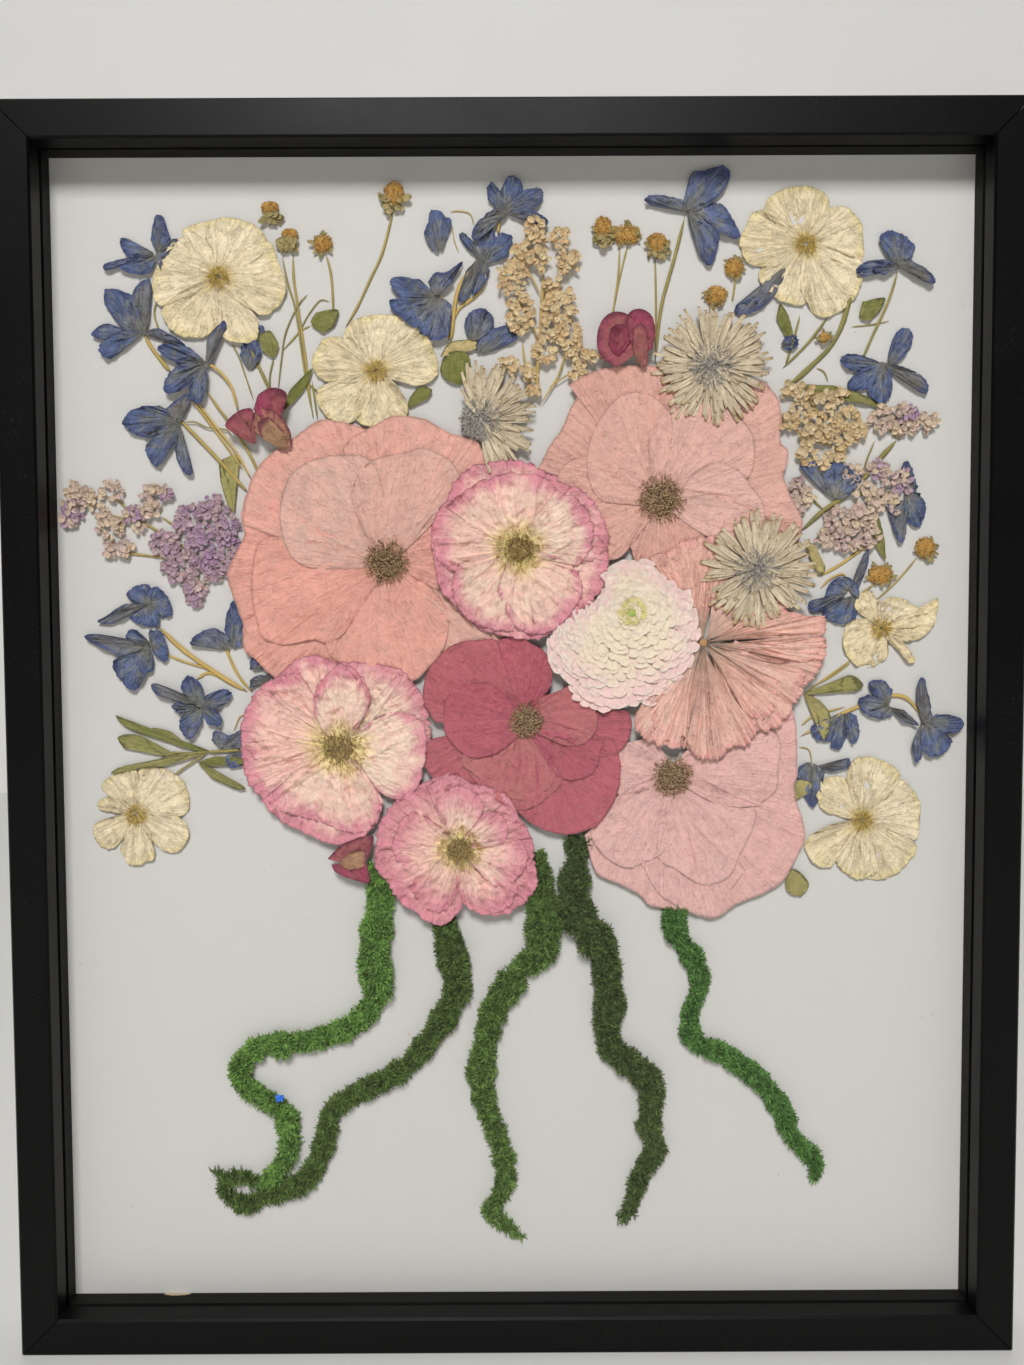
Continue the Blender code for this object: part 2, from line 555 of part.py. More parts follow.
# Moss strands: the middle line, with the strand's width in mm at each place
MOSS_STRANDS = {
    "moss_far_left": (MOSS_BRIGHT, [
        ((381, 888), 11.3), ((379, 915), 12.6), ((376, 952), 14.2), ((378, 992), 10.5),
        ((360, 1018), 9.6), ((330, 1034), 9.6),
        ((292, 1042), 9.6), ((258, 1046), 9.2), ((242, 1064), 8.8), ((247, 1086), 8.4),
        ((283, 1109), 7.8), ((291, 1136), 7.4),
        ((282, 1160), 7.0), ((270, 1172), 6.2),
    ]),
    "moss_looped": (MOSS_DARK, [
        ((445, 930), 11.2), ((456, 960), 11.5), ((457, 990), 10.9), ((450, 1006), 9.6),
        ((437, 1027), 10.5), ((415, 1057), 7.6),
        ((391, 1075), 7.9), ((361, 1090), 7.4), ((334, 1109), 6.2), ((322, 1150), 7.0),
        ((307, 1177), 7.2), ((285, 1189), 6.6),
        ((262, 1198), 5.6), ((243, 1203), 4.9), ((227, 1193), 4.6), ((225, 1180), 4.2),
        ((240, 1175), 4.0), ((254, 1180), 3.6),
    ]),
    "moss_middle": (MOSS_DARK, [
        ((541, 912), 12.4), ((543, 932), 13.4), ((539, 954), 10.5), ((521, 967), 9.8),
        ((507, 988), 11.8), ((494, 1008), 10.8),
        ((486, 1035), 9.8), ((482, 1075), 9.8), ((489, 1112), 8.4), ((500, 1142), 7.4),
        ((506, 1176), 7.2), ((497, 1200), 6.2),
        ((491, 1211), 5.6), ((506, 1226), 4.2), ((523, 1238), 2.6),
    ]),
    "moss_right": (MOSS_DARK, [
        ((574, 850), 10.0), ((575, 872), 12.8), ((573, 898), 15.0), ((588, 931), 15.2),
        ((603, 952), 13.4), ((608, 990), 11.6),
        ((607, 1027), 11.4), ((613, 1048), 10.7), ((640, 1072), 10.6), ((650, 1100), 9.6),
        ((651, 1135), 8.8), ((650, 1158), 7.4),
        ((636, 1188), 5.6), ((626, 1212), 4.6), ((617, 1221), 3.2),
    ]),
    "moss_far_right": (MOSS_BRIGHT, [
        ((673, 923), 10.7), ((680, 940), 6.6), ((694, 958), 7.0), ((699, 982), 4.6), ((690, 1008), 6.4),
        ((689, 1027), 7.0),
        ((702, 1045), 6.2), ((738, 1062), 5.8), ((762, 1083), 6.8), ((778, 1104), 7.2),
        ((788, 1130), 4.9), ((806, 1152), 5.0),
        ((815, 1164), 5.0), ((812, 1176), 3.4),
    ]),
}
MOSS_SIDES = 8
MOSS_FLATNESS = 0.45
MOSS_MOST_HEIGHT = 6.0
MOSS_LUMP = 0.12


def petal_plate(hub, rim, low):
    """A broad petal: from just behind the hub to its rim."""
    edge = [spot(pixel, low) for pixel in rim]
    middle = spot(hub, low)
    reach = sum(edge, Vector((0, 0))) / len(edge) - middle
    root = middle - reach.normalized() * PETAL_ROOT
    return plate([root, *edge], low, low + PETAL_THICKNESS)


def build_broad_bloom(name, hub, petals, low, button, colour, collection):
    """A bloom of broad petals, each a step above the last, with a round button over the hub."""
    solids = [petal_plate(hub, rim, low + i * PETAL_STEP) for i, rim in enumerate(petals)]
    solids.append(dome(spot(hub, low), button, low + 0.1, BUTTON_HEIGHT))
    fuse(name, solids, collection, finish(f"{name} petals", colour, 0.75))


def shrunk(hub, rim, share, lobes, depth, turn, low):
    """A folded inner layer: the rim drawn in towards the hub, with its own lobes."""
    middle = spot(hub, low)
    outline = []
    count = 2 * lobes
    for i in range(count):
        along = (i + turn) / count * len(rim)
        before, part = int(along) % len(rim), along % 1
        edge = spot(rim[before], low).lerp(spot(rim[(before + 1) % len(rim)], low), part)
        wave = share * (1 + depth * (-1) ** i)
        outline.append(middle + (edge - middle) * wave)
    return outline


def build_ruffled_bloom(name, hub, rim, layers, lobes, low, button, colour, collection):
    """A ruffled bloom: its outline, smaller lobed layers, and a button or eye."""
    solids = [plate([spot(pixel, low) for pixel in rim], low, low + PETAL_THICKNESS)]
    for i in range(1, layers):
        base = low + i * RUFFLE_STEP
        outline = shrunk(hub, rim, 1 - i / (layers + 0.6), lobes, RUFFLE_WAVE, 0.5 * i, low)
        solids.append(plate(outline, base, base + PETAL_THICKNESS))
    solids.append(dome(spot(hub, low), button, low + 0.15, BUTTON_HEIGHT))
    fuse(name, solids, collection, finish(f"{name} petals", colour, 0.75))


def build_aster(name, disc, reach, start, sweep, low, collection):
    """Narrow blunt rays round a low disc. One seen from the side has rays over part of a turn."""
    middle = spot(disc, low)
    rays = RAYS_ROUND if sweep == 360 else RAYS_SIDE
    step = math.radians(sweep) / rays
    outline = []
    for i in range(rays):
        angle = math.radians(start) + i * step
        length = reach * (1 - 0.12 * (i % 3) / 2)
        for turn, out in ((0, RAY_ROOT), (0.28, 1), (0.72, 1)):
            away = angle + turn * step
            outline.append(middle + Vector((math.cos(away), math.sin(away))) * length * out)
    if sweep != 360:
        outline.append(middle - Vector((0, 6.0)))
    solids = [plate(outline, low, low + PETAL_THICKNESS), dome(middle, DISC_RADIUS, low + 0.1, DISC_HEIGHT)]
    fuse(name, solids, collection, finish(f"{name} rays", STRAW, 0.85))


def build_cream_flowers(collection):
    for name, (hub, low, petals) in CREAM_FLOWERS.items():
        solids = [petal_plate(hub, rim, low + i * CREAM_STEP) for i, rim in enumerate(petals)]
        fuse(name, solids, collection, finish(f"{name} petals", CREAM, 0.75))


def blade_outline(base, tip, width, low):
    """A small petal: narrow at its base, widest past the middle, with a short blunt tip."""
    root, end = spot(base, low), spot(tip, low)
    along = end - root
    side = Vector((-along.y, along.x)).normalized() * width / 2
    widest = root + along * BLADE_WIDEST
    right = [root + side * BLADE_BASE, widest + side, end + side * BLADE_TIP]
    left = [end - side * BLADE_TIP, widest - side, root - side * BLADE_BASE]
    return right + left


def stalk_outline(points, width, low):
    """A flat pressed stalk along a line of pixels."""
    line = [spot(pixel, low) for pixel in points]
    left, right = [], []
    for i, place in enumerate(line):
        along = line[min(i + 1, len(line) - 1)] - line[max(i - 1, 0)]
        side = Vector((-along.y, along.x)).normalized() * width / 2
        left.append(place + side)
        right.append(place - side)
    return left + right[::-1]


def stack(outlines, low):
    """Thin plates that cross each other, each a hair above the last so that no two faces meet flat."""
    step = BLADE_STACK / len(outlines)
    lifts = [low + i * step for i in range(len(outlines))]
    return [plate(outline, lift, lift + BLADE_THICKNESS) for outline, lift in zip(outlines, lifts)]


def build_small_flowers(collection):
    """Florets, sprigs and clusters: flat blades and stalks fused where they cross."""
    for name, (low, colour, blades, stalks) in SMALL_FLOWERS.items():
        outlines = [blade_outline(*blade, low) for blade in blades]
        outlines += [stalk_outline(*stalk, low) for stalk in stalks]
        solids = stack(outlines, low)
        fuse(name, solids, collection, finish(f"{name} dried", colour, 0.8))


def build_snapdragons(collection):
    for name, blades in SNAPDRAGONS.items():
        outlines = [blade_outline(*blade, LOW_LAYER) for blade in blades]
        solids = stack(outlines, LOW_LAYER)
        fuse(name, solids, collection, finish(f"{name} dried", MAROON, 0.8))


def build_moss(collection):
    """Each strand is a flattened cord that lies on the board and swells and narrows along its way."""
    for name, (colour, stations) in MOSS_STRANDS.items():
        bm = bmesh.new()
        rings = []
        line = [spot(pixel, 2.5) for pixel, _ in stations]
        for i, (_, width) in enumerate(stations):
            along = line[min(i + 1, len(line) - 1)] - line[max(i - 1, 0)]
            side = Vector((-along.y, along.x)).normalized()
            height = min(MOSS_MOST_HEIGHT, width * MOSS_FLATNESS)
            ring = []
            for k in range(MOSS_SIDES):
                turn = 2 * math.pi * k / MOSS_SIDES
                lump = 1 + MOSS_LUMP * math.sin(2.4 * i + 1.7 * k)
                place = line[i] + side * (math.cos(turn) * width / 2 * lump)
                lift = LOW_LAYER + height * (0.5 + 0.5 * math.sin(turn))
                ring.append(bm.verts.new((place.x, BOARD_Y - lift, place.y)))
            rings.append(ring)
        for near, far in zip(rings, rings[1:]):
            for k in range(MOSS_SIDES):
                after = (k + 1) % MOSS_SIDES
                bm.faces.new((near[k], near[after], far[after], far[k]))
        bm.faces.new(rings[0])
        bm.faces.new(rings[-1])
        new_object(name, mesh_from(bm, name), collection, finish(f"{name} moss", colour, 1.0))


def build_blooms(collection):
    for name, hub, petals, low, button, colour in (
        ("poppy_left", POPPY_LEFT_HUB, POPPY_LEFT_PETALS, POPPY_LAYER, 8.2, CORAL),
        ("poppy_right", POPPY_RIGHT_HUB, POPPY_RIGHT_PETALS, POPPY_LAYER, 9.0, BLUSH),
        ("poppy_pale", POPPY_PALE_HUB, POPPY_PALE_PETALS, POPPY_LAYER, 7.5, SHELL_PINK),
        ("poppy_rose", POPPY_ROSE_HUB, POPPY_ROSE_PETALS, ROSE_LAYER, 6.0, DEEP_ROSE),
    ):
        build_broad_bloom(name, hub, petals, low, button, colour, collection)
    petals = enumerate(CARNATION_PETALS)
    solids = [petal_plate(CARNATION_HUB, rim, ROSE_LAYER + i * PETAL_STEP) for i, rim in petals]
    fuse("carnation", solids, collection, finish("carnation petals", CORAL, 0.75))
    for name, hub, rim, layers, lobes, low, button, colour in (
        ("rose_left", ROSE_LEFT_HUB, ROSE_LEFT_RIM, 3, 8, ROSE_LAYER, 10.5, RUFFLE_PINK),
        ("rose_centre", ROSE_CENTRE_HUB, ROSE_CENTRE_RIM, 3, 8, TOP_LAYER, 10.0, RUFFLE_PINK),
        ("rose_low", ROSE_LOW_HUB, ROSE_LOW_RIM, 3, 7, TOP_LAYER, 7.5, RUFFLE_PINK),
        ("ranunculus", RANUNCULUS_HUB, RANUNCULUS_RIM, 4, 9, CROWN_LAYER, 4.5, PALE_CREAM),
    ):
        build_ruffled_bloom(name, hub, rim, layers, lobes, low, button, colour, collection)
    for name, low in (("aster_side", ROSE_LAYER), ("aster_upper", ROSE_LAYER), ("aster_right", TOP_LAYER)):
        build_aster(name, *ASTERS[name], low, collection)


def main():
    remove_everything()
    frame = new_collection("pressed_flower_frame")
    build_moulding(frame)
    build_spacers(frame)
    build_sheets(frame)
    build_tabs(frame)
    build_hanger(frame)
    build_blooms(frame)
    build_cream_flowers(frame)
    build_small_flowers(frame)
    build_snapdragons(frame)
    build_moss(frame)


main()
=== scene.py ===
"""Pressed flower frame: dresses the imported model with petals, moss, glass and paint, and stages it."""

import math
import random

import bmesh
import bpy
from mathutils import Matrix, Vector, noise


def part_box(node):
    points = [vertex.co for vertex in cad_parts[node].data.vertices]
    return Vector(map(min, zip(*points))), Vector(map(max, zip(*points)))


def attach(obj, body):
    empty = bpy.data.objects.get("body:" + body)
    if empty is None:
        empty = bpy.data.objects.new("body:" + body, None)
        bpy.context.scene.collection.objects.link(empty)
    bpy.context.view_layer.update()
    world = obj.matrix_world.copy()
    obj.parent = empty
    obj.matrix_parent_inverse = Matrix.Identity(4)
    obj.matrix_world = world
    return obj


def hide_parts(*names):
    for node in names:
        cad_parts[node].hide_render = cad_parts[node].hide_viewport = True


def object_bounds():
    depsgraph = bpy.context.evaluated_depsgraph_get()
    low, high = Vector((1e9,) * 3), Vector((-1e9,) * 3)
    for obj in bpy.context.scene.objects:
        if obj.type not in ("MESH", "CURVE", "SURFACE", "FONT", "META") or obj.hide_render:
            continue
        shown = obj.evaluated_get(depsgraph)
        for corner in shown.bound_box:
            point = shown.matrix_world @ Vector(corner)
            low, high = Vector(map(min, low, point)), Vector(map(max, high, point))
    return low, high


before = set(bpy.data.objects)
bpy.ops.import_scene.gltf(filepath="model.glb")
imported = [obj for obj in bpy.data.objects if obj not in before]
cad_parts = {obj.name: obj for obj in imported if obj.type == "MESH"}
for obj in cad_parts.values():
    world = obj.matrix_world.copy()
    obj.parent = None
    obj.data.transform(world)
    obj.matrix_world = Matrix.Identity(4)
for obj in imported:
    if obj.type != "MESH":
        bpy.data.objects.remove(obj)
CAD_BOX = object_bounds()

bl_info = {
    "name": "Pressed flower frame",
    "version": (1, 0, 0),
    "blender": (4, 5, 0),
    "location": "View3D > Sidebar > Flower frame",
    "description": "Pressed blooms and moss on a white board in a deep black frame",
    "category": "Object",
}

MM = 0.001
BODY = "root"

# The eye that the photograph's pixels are read from, in mm, against the middle of the frame's front
FOCAL_PIXELS = 1025.0
PHOTO_SIZE = (1024, 1365)
SENSOR = 36.0
EYE_OFFSET = Vector((-1.5, -428.8, 44.1))
EYE_TURN = (math.radians(-0.05), math.radians(-2.54), math.radians(0.25))
FRONT_MIDDLE = Vector((0, CAD_BOX[0].y, (CAD_BOX[0].z + CAD_BOX[1].z) / 2)) / MM
EYE = FRONT_MIDDLE + EYE_OFFSET
VIEW = (
    Matrix.Rotation(EYE_TURN[0], 3, "Z")
    @ Matrix.Rotation(EYE_TURN[1], 3, "X")
    @ Matrix.Rotation(EYE_TURN[2], 3, "Y")
)
BOARD_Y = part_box("mount_board")[0].y / MM

# Heights above the board, in mm, of the layers that the specimens lie in
LOW = 0.35
MID = 1.0
HIGH = 1.7
POPPY = 2.4
ROSE = 3.6
TOP = 4.75
CROWN = 5.6
# Pieces that stand higher than this are pressed flat against the glass within the next part of a millimetre
PRESSED = 6.5
GIVE = 0.9

# Where a piece's three materials are in its mesh
PETAL, STEM, GRAIN = 0, 1, 2

# A surface is this much brighter than its picture, which the key light leaves a little dark
BRIGHTEN = 1.15
# About the size of a photo pixel at the frame, in mm
PIXEL = 0.417

# Where a petal starts, as a share of the way from its hub, and how far its crumples can dip, in mm
PETAL_START = 0.04
DEEPEST = -0.9
# How often a petal's rim is waved by its coarse teeth, its fine teeth and its frill
TEETH_COARSE = 24
TEETH_FINE = 61
FRILL_WAVES = 17
# Heights, in mm, from one petal of a bloom to the next
POPPY_STEP = 0.13
ROSE_STEP = 0.17
FLORET_STEP = 0.15

# The case, in mm: half its width and depth, its height, how far its rails reach in before and behind their
# lip, how deep the lip goes and how far their outer edges are eased
HALF_WIDTH = 214
HALF_DEPTH = 17.5
HEIGHT = 530
FACE_REACH = 15.4
LIP_Y = 9.0
SIDE_REACH = 10.0
EASED = 0.6


def tint(red, green, blue):
    """A colour as it shows in the picture, as the linear colour of a surface in this light."""
    channels = []
    for value in (red, green, blue):
        share = value / 255
        channels.append(share / 12.92 if share <= 0.04045 else ((share + 0.055) / 1.055) ** 2.4)
    return (*[min(channel * BRIGHTEN, 1.0) for channel in channels], 1.0)


def spot(pixel, lift=0.0):
    """The place on the plane `lift` mm off the board that a pixel shows, as (x, z) in mm."""
    across = (pixel[0] - PHOTO_SIZE[0] / 2) / FOCAL_PIXELS
    up = (PHOTO_SIZE[1] / 2 - pixel[1]) / FOCAL_PIXELS
    ray = VIEW @ Vector((across, 1, up))
    place = EYE + ray * ((BOARD_Y - lift - EYE.y) / ray.y)
    return Vector((place.x, place.z))


def raised(place, lift):
    """A place on the board, in mm, as a point in metres `lift` mm off it, pressed under the glass."""
    if lift > PRESSED:
        lift = PRESSED + GIVE * math.tanh((lift - PRESSED) / GIVE)
    return Vector((place.x, BOARD_Y - lift, place.y)) * MM


def curve_through(points, along):
    """A point on the smooth line through the points, with `along` from 0 to 1."""
    spans = len(points) - 1
    index = min(int(along * spans), spans - 1)
    t = along * spans - index
    p1, p2 = points[index], points[index + 1]
    p0 = points[index - 1] if index else p1 * 2 - p2
    p3 = points[index + 2] if index + 2 <= spans else p2 * 2 - p1
    return 0.5 * (
        2 * p1 + (p2 - p0) * t + (2 * p0 - 5 * p1 + 4 * p2 - p3) * t * t
        + (3 * p1 - p0 - 3 * p2 + p3) * t * t * t
    )


def quarter_turn(way):
    """A direction on the board, turned a quarter to the left."""
    return Vector((-way.y, way.x))


def towards(angle):
    """The direction on the board at an angle in radians."""
    return Vector((math.cos(angle), math.sin(angle)))


def sideways(points, along):
    """The direction across the smooth line through the points."""
    ahead = curve_through(points, min(along + 0.02, 1)) - curve_through(points, max(along - 0.02, 0))
    return quarter_turn(ahead).normalized()


def add_object(name, data):
    """A new object in the scene."""
    made = bpy.data.objects.new(name, data)
    bpy.context.scene.collection.objects.link(made)
    return made


def as_mesh(bm, name):
    """A new mesh of all that a bmesh holds; the bmesh is done with."""
    mesh = bpy.data.meshes.new(name)
    bm.to_mesh(mesh)
    bm.free()
    return mesh


def dress(verts, slot, smooth=False):
    """Give the faces round some vertices one of their piece's materials."""
    for vert in verts:
        for face in vert.link_faces:
            face.material_index = slot
            face.smooth = smooth


class Piece:
    """A mesh in the making: sheets, stalks and grains, with a tone for each vertex."""

    def __init__(self, name):
        self.name = name
        self.random = random.Random(name)
        self.field = self.random.uniform(0, 90)
        self.parts = []
        self.open()

    def open(self):
        """Start a fresh bmesh, because every operator takes longer the more its bmesh holds."""
        self.bm = bmesh.new()
        self.uv = self.bm.loops.layers.uv.new("petal")
        self.tone = self.bm.verts.layers.float.new("tone")
        self.relief = self.bm.verts.layers.float.new("relief")
        self.swell = 0.0

    def settle(self, most=3000):
        """Put a bmesh that has grown too large aside."""
        if len(self.bm.verts) <= most:
            return
        self.parts.append(as_mesh(self.bm, self.name))
        self.open()

    def grid(self, columns, rows, place, tone=0.0, slot=PETAL, seam=False):
        """A sheet whose place(across, along) gives each point; a seam joins its two long edges."""
        self.settle()
        made = bmesh.ops.create_grid(
            self.bm, x_segments=columns, y_segments=rows, size=0.5, calc_uvs=True
        )
        verts = made["verts"]
        faces = list({face for vert in verts for face in vert.link_faces})
        for face in faces:
            face.material_index = slot
            face.smooth = True
        for vert in verts:
            across, along = vert.co.x + 0.5, vert.co.y + 0.5
            vert.co = place(across, along)
            vert[self.tone] = tone
            vert[self.relief] = self.swell
        if seam:
            bmesh.ops.remove_doubles(self.bm, verts=verts, dist=1e-7)
            faces = [face for face in faces if face.is_valid]
            bmesh.ops.recalc_face_normals(self.bm, faces=faces)
            return
        facing = 0.0
        for face in faces:
            face.normal_update()
            facing += face.normal.y
        if facing > 0:
            bmesh.ops.reverse_faces(self.bm, faces=faces)

    def petal(self, hub, rim, lift, tone=0.0, slot=PETAL, size=(32, 12), spread=0.85, rise=0.25, pleat=0.12,
              crumple=0.0, teeth=0.0, folds=(), frill=0.0, creases=0, waves=11):
        """A petal from its hub to its rim, given as pixels.

        rise lifts the rim, pleats run out from the hub in as many waves as waves says, crumples go all over,
        teeth notch the rim and frill waves it. folds are pairs of pixels, and creases says how many more
        folds there are at places drawn by chance.
        """
        middle = spot(hub, lift)
        edge = [spot(pixel, lift) for pixel in rim]
        crown = curve_through(edge, 0.5)
        axis = crown - middle
        seed = self.random.uniform(0, 90)
        lines = [(spot(a, lift), spot(b, lift)) for a, b in folds]
        for _ in range(creases):
            turn = self.random.uniform(0.1, 0.9)
            near = middle.lerp(curve_through(edge, turn), self.random.uniform(0.2, 0.5))
            turn = min(1.0, max(0.0, turn + self.random.gauss(0, 0.12)))
            lines.append((near, middle.lerp(curve_through(edge, turn), self.random.uniform(0.7, 1.0))))

        def place(across, along):
            reach = PETAL_START + (1 - PETAL_START) * along
            out = curve_through(edge, across)
            if teeth:
                notch = noise.noise(Vector((across * TEETH_COARSE, seed, 0)))
                notch += 0.6 * noise.noise(Vector((across * TEETH_FINE, 0, seed)))
                out = out + (out - middle).normalized() * teeth * notch
            flat = middle + axis * reach + (out - crown) * reach**spread
            ridge = 0.5 - 2.0 * abs(noise.noise(Vector((across * waves, reach * 1.1, seed))))
            swell = pleat * min(1, reach * 1.6) * ridge
            swell += crumple * wrinkle(flat, self.field)
            if frill:
                swell += frill * reach**6 * noise.noise(Vector((across * FRILL_WAVES, seed, 3)))
            for a, b in lines:
                swell += fold_height(flat, a, b)
            self.swell = max(-1.0, min(1.0, swell))
            return raised(flat, lift + rise * reach**3 + max(swell, DEEPEST))

        self.grid(*size, place, tone, slot)
        self.swell = 0.0

    def stalk(self, line, width, lift, tone=0.0, slot=STEM):
        """A stalk along a line of pixels, a little flattened and pinched at both ends."""
        points = [spot(pixel, lift) for pixel in line]
        rows = max(4, 4 * (len(points) - 1))
        seed = self.random.uniform(0, 90)
        flatten = 0.6

        def place(across, along):
            here = curve_through(points, along)
            side = sideways(points, along)
            turn = 2 * math.pi * across
            wide = width * (1 + 0.22 * noise.noise(Vector((along * 9, seed, 0))))
            wide *= min(1, 6 * along, 6 * (1 - along)) ** 0.5 if 0 < along < 1 else 0.0
            half = wide / 2
            return raised(here + side * math.cos(turn) * half, lift + half * flatten * (1 + math.sin(turn)))

        self.grid(6, rows, place, tone, slot, seam=True)

    def grains(self, centre, radius, count, lift, height, thick, lean=0.7, tones=(0.0, 1.0), inner=0.0):
        """Short stamens crowded over a low dome, or in a ring if inner is above 0."""
        self.settle(500)
        middle = spot(centre, lift)
        for _ in range(count):
            out = radius * math.sqrt(inner**2 + (1 - inner**2) * self.random.random())
            away = towards(self.random.uniform(0, 2 * math.pi))
            foot = middle + away * out
            dome = height * math.sqrt(max(0, 1 - (out / radius) ** 2))
            tip_lean = away * (out / radius) * lean
            tip_lean += Vector((self.random.gauss(0, 0.45), self.random.gauss(0, 0.45)))
            direction = Vector((tip_lean.x, -1, tip_lean.y)).normalized()
            long = thick * self.random.uniform(2.0, 4.5)
            base = raised(foot, lift + dome * 0.8)
            turned = direction.to_track_quat("Z", "Y").to_matrix().to_4x4()
            made = bmesh.ops.create_cone(
                self.bm, cap_ends=True, segments=4, radius1=thick * 0.25 * MM, radius2=thick * 0.5 * MM,
                depth=long * MM, matrix=Matrix.Translation(base + direction * long * 0.5 * MM) @ turned,
            )
            tone = self.random.uniform(*tones)
            for vert in made["verts"]:
                far = (vert.co - base).dot(direction) > long * 0.5 * MM
                vert[self.tone] = tone if far else 0.0
            dress(made["verts"], GRAIN)

    def dome(self, centre, radius, lift, height, tone=0.5, lump=0.15, squeeze=1.0):
        """A lumpy low button under the stamens."""
        self.settle(1500)
        middle = spot(centre, lift)
        made = bmesh.ops.create_uvsphere(self.bm, u_segments=20, v_segments=10, radius=1)
        seed = self.random.uniform(0, 90)
        for vert in made["verts"]:
            grow = 1 + lump * noise.noise(vert.co * 3 + Vector((seed, 0, 0)))
            flat = middle + Vector((vert.co.x * radius, vert.co.y * radius * squeeze)) * grow
            vert.co = raised(flat, lift + max(vert.co.z, -0.15) * height * grow)
            vert[self.tone] = tone
        dress(made["verts"], GRAIN, smooth=True)

    def tuft(self, centre, radii, count, lift, depth, length, tones=(0.0, 1.0), width=0.6):
        """Small crumpled florets strewn over an oval. Radii and length are in mm."""
        middle = spot(centre, lift)
        for _ in range(count):
            out = math.sqrt(self.random.random())
            angle = self.random.uniform(0, 2 * math.pi)
            local = Vector((math.cos(angle) * radii[0], math.sin(angle) * radii[1])) * out
            foot = middle + local
            along_way = towards(angle + self.random.gauss(0, 0.9))
            side_way = quarter_turn(along_way)
            long = length * self.random.uniform(0.6, 1.25)
            wide = long * width * self.random.uniform(0.7, 1.3)
            base = lift + depth * (1 - out * 0.7) * self.random.uniform(0.3, 1)
            cup = self.random.uniform(-0.3, 0.9)

            def place(across, along):
                flare = (across - 0.5) * wide * math.sin(math.pi * (0.12 + 0.78 * along)) ** 0.8
                flat = foot + along_way * long * (along - 0.25) + side_way * flare
                crumple = 0.5 * noise.noise(Vector((flat.x * 0.9, flat.y * 0.9, base)))
                gutter = abs(across - 0.5) * wide * 0.6
                return raised(flat, base + crumple + cup * long * 0.4 * along + gutter)

            self.grid(4, 4, place, self.random.uniform(*tones))

    def finish(self, materials, slot_name, nodes=()):
        """Make the object, let it ride on the frame and stand for its CAD nodes."""
        self.settle(0)
        self.bm.free()
        whole = bmesh.new()
        for part in self.parts:
            whole.from_mesh(part)
            bpy.data.meshes.remove(part)
        name = f"{self.name}_dried"
        piece = add_object(name, as_mesh(whole, name))
        for material in materials:
            piece.data.materials.append(material)
        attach(piece, BODY)
        if nodes:
            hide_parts(*nodes)
        return piece


def wrinkle(flat, seed):
    """Height, about -1 to 1, of dry crumpled petal at a place: wide waves with sharp ridges on them."""
    low = noise.noise(Vector((flat.x * 0.11, flat.y * 0.11, seed)))
    broad = 1 - 2.6 * abs(noise.noise(Vector((flat.x * 0.24 + low, flat.y * 0.24 - low, seed + 7))))
    fine = 1 - 2.6 * abs(noise.noise(Vector((flat.x * 0.62 + broad * 0.4, flat.y * 0.62, seed + 13))))
    return low * 0.4 + broad * 0.72 + fine * 0.3


def fold_height(flat, a, b, height=1.5, steep=0.28, gentle=1.2):
    """How far a fold from a to b lifts the petal at a place: steep on one side, gentle on the other."""
    way = b - a
    t = max(0.0, min(1.0, (flat - a).dot(way) / way.length_squared))
    off = flat - (a + way * t)
    side = way.x * off.y - way.y * off.x
    fade = gentle if side > 0 else steep
    swell = 0.35 + 0.65 * math.sin(math.pi * t)
    return height * swell * math.exp(-off.length / fade)


class Value:
    """A socket that carries a number, so that shader maths reads as ordinary sums."""

    def __init__(self, shader, socket):
        self.shader = shader
        self.socket = socket

    def _math(self, operation, first, second=None, third=None):
        inputs = [value for value in (first, second, third) if value is not None]
        node = self.shader.node("ShaderNodeMath", {"operation": operation}, dict(enumerate(inputs)))
        return Value(self.shader, node.outputs[0])

    def __add__(self, other):
        return self._math("ADD", self, other)

    def __radd__(self, other):
        return self._math("ADD", other, self)

    def __sub__(self, other):
        return self._math("SUBTRACT", self, other)

    def __rsub__(self, other):
        return self._math("SUBTRACT", other, self)

    def __mul__(self, other):
        return self._math("MULTIPLY", self, other)

    def __rmul__(self, other):
        return self._math("MULTIPLY", other, self)

    def __pow__(self, other):
        return self._math("POWER", self, other)

    def absolute(self):
        return self._math("ABSOLUTE", self)

    def clamped(self):
        return self._math("MINIMUM", self._math("MAXIMUM", self, 0.0), 1.0)

    def ramp(self, low, high):
        """0 below low, 1 above high, and smooth between them; low may be the greater."""
        node = self.shader.node(
            "ShaderNodeMapRange", {"interpolation_type": "SMOOTHSTEP"}, {0: self, 1: low, 2: high}
        )
        if low > high:
            node.inputs[1].default_value, node.inputs[2].default_value = high, low
            return 1 - Value(self.shader, node.outputs[0])
        return Value(self.shader, node.outputs[0])


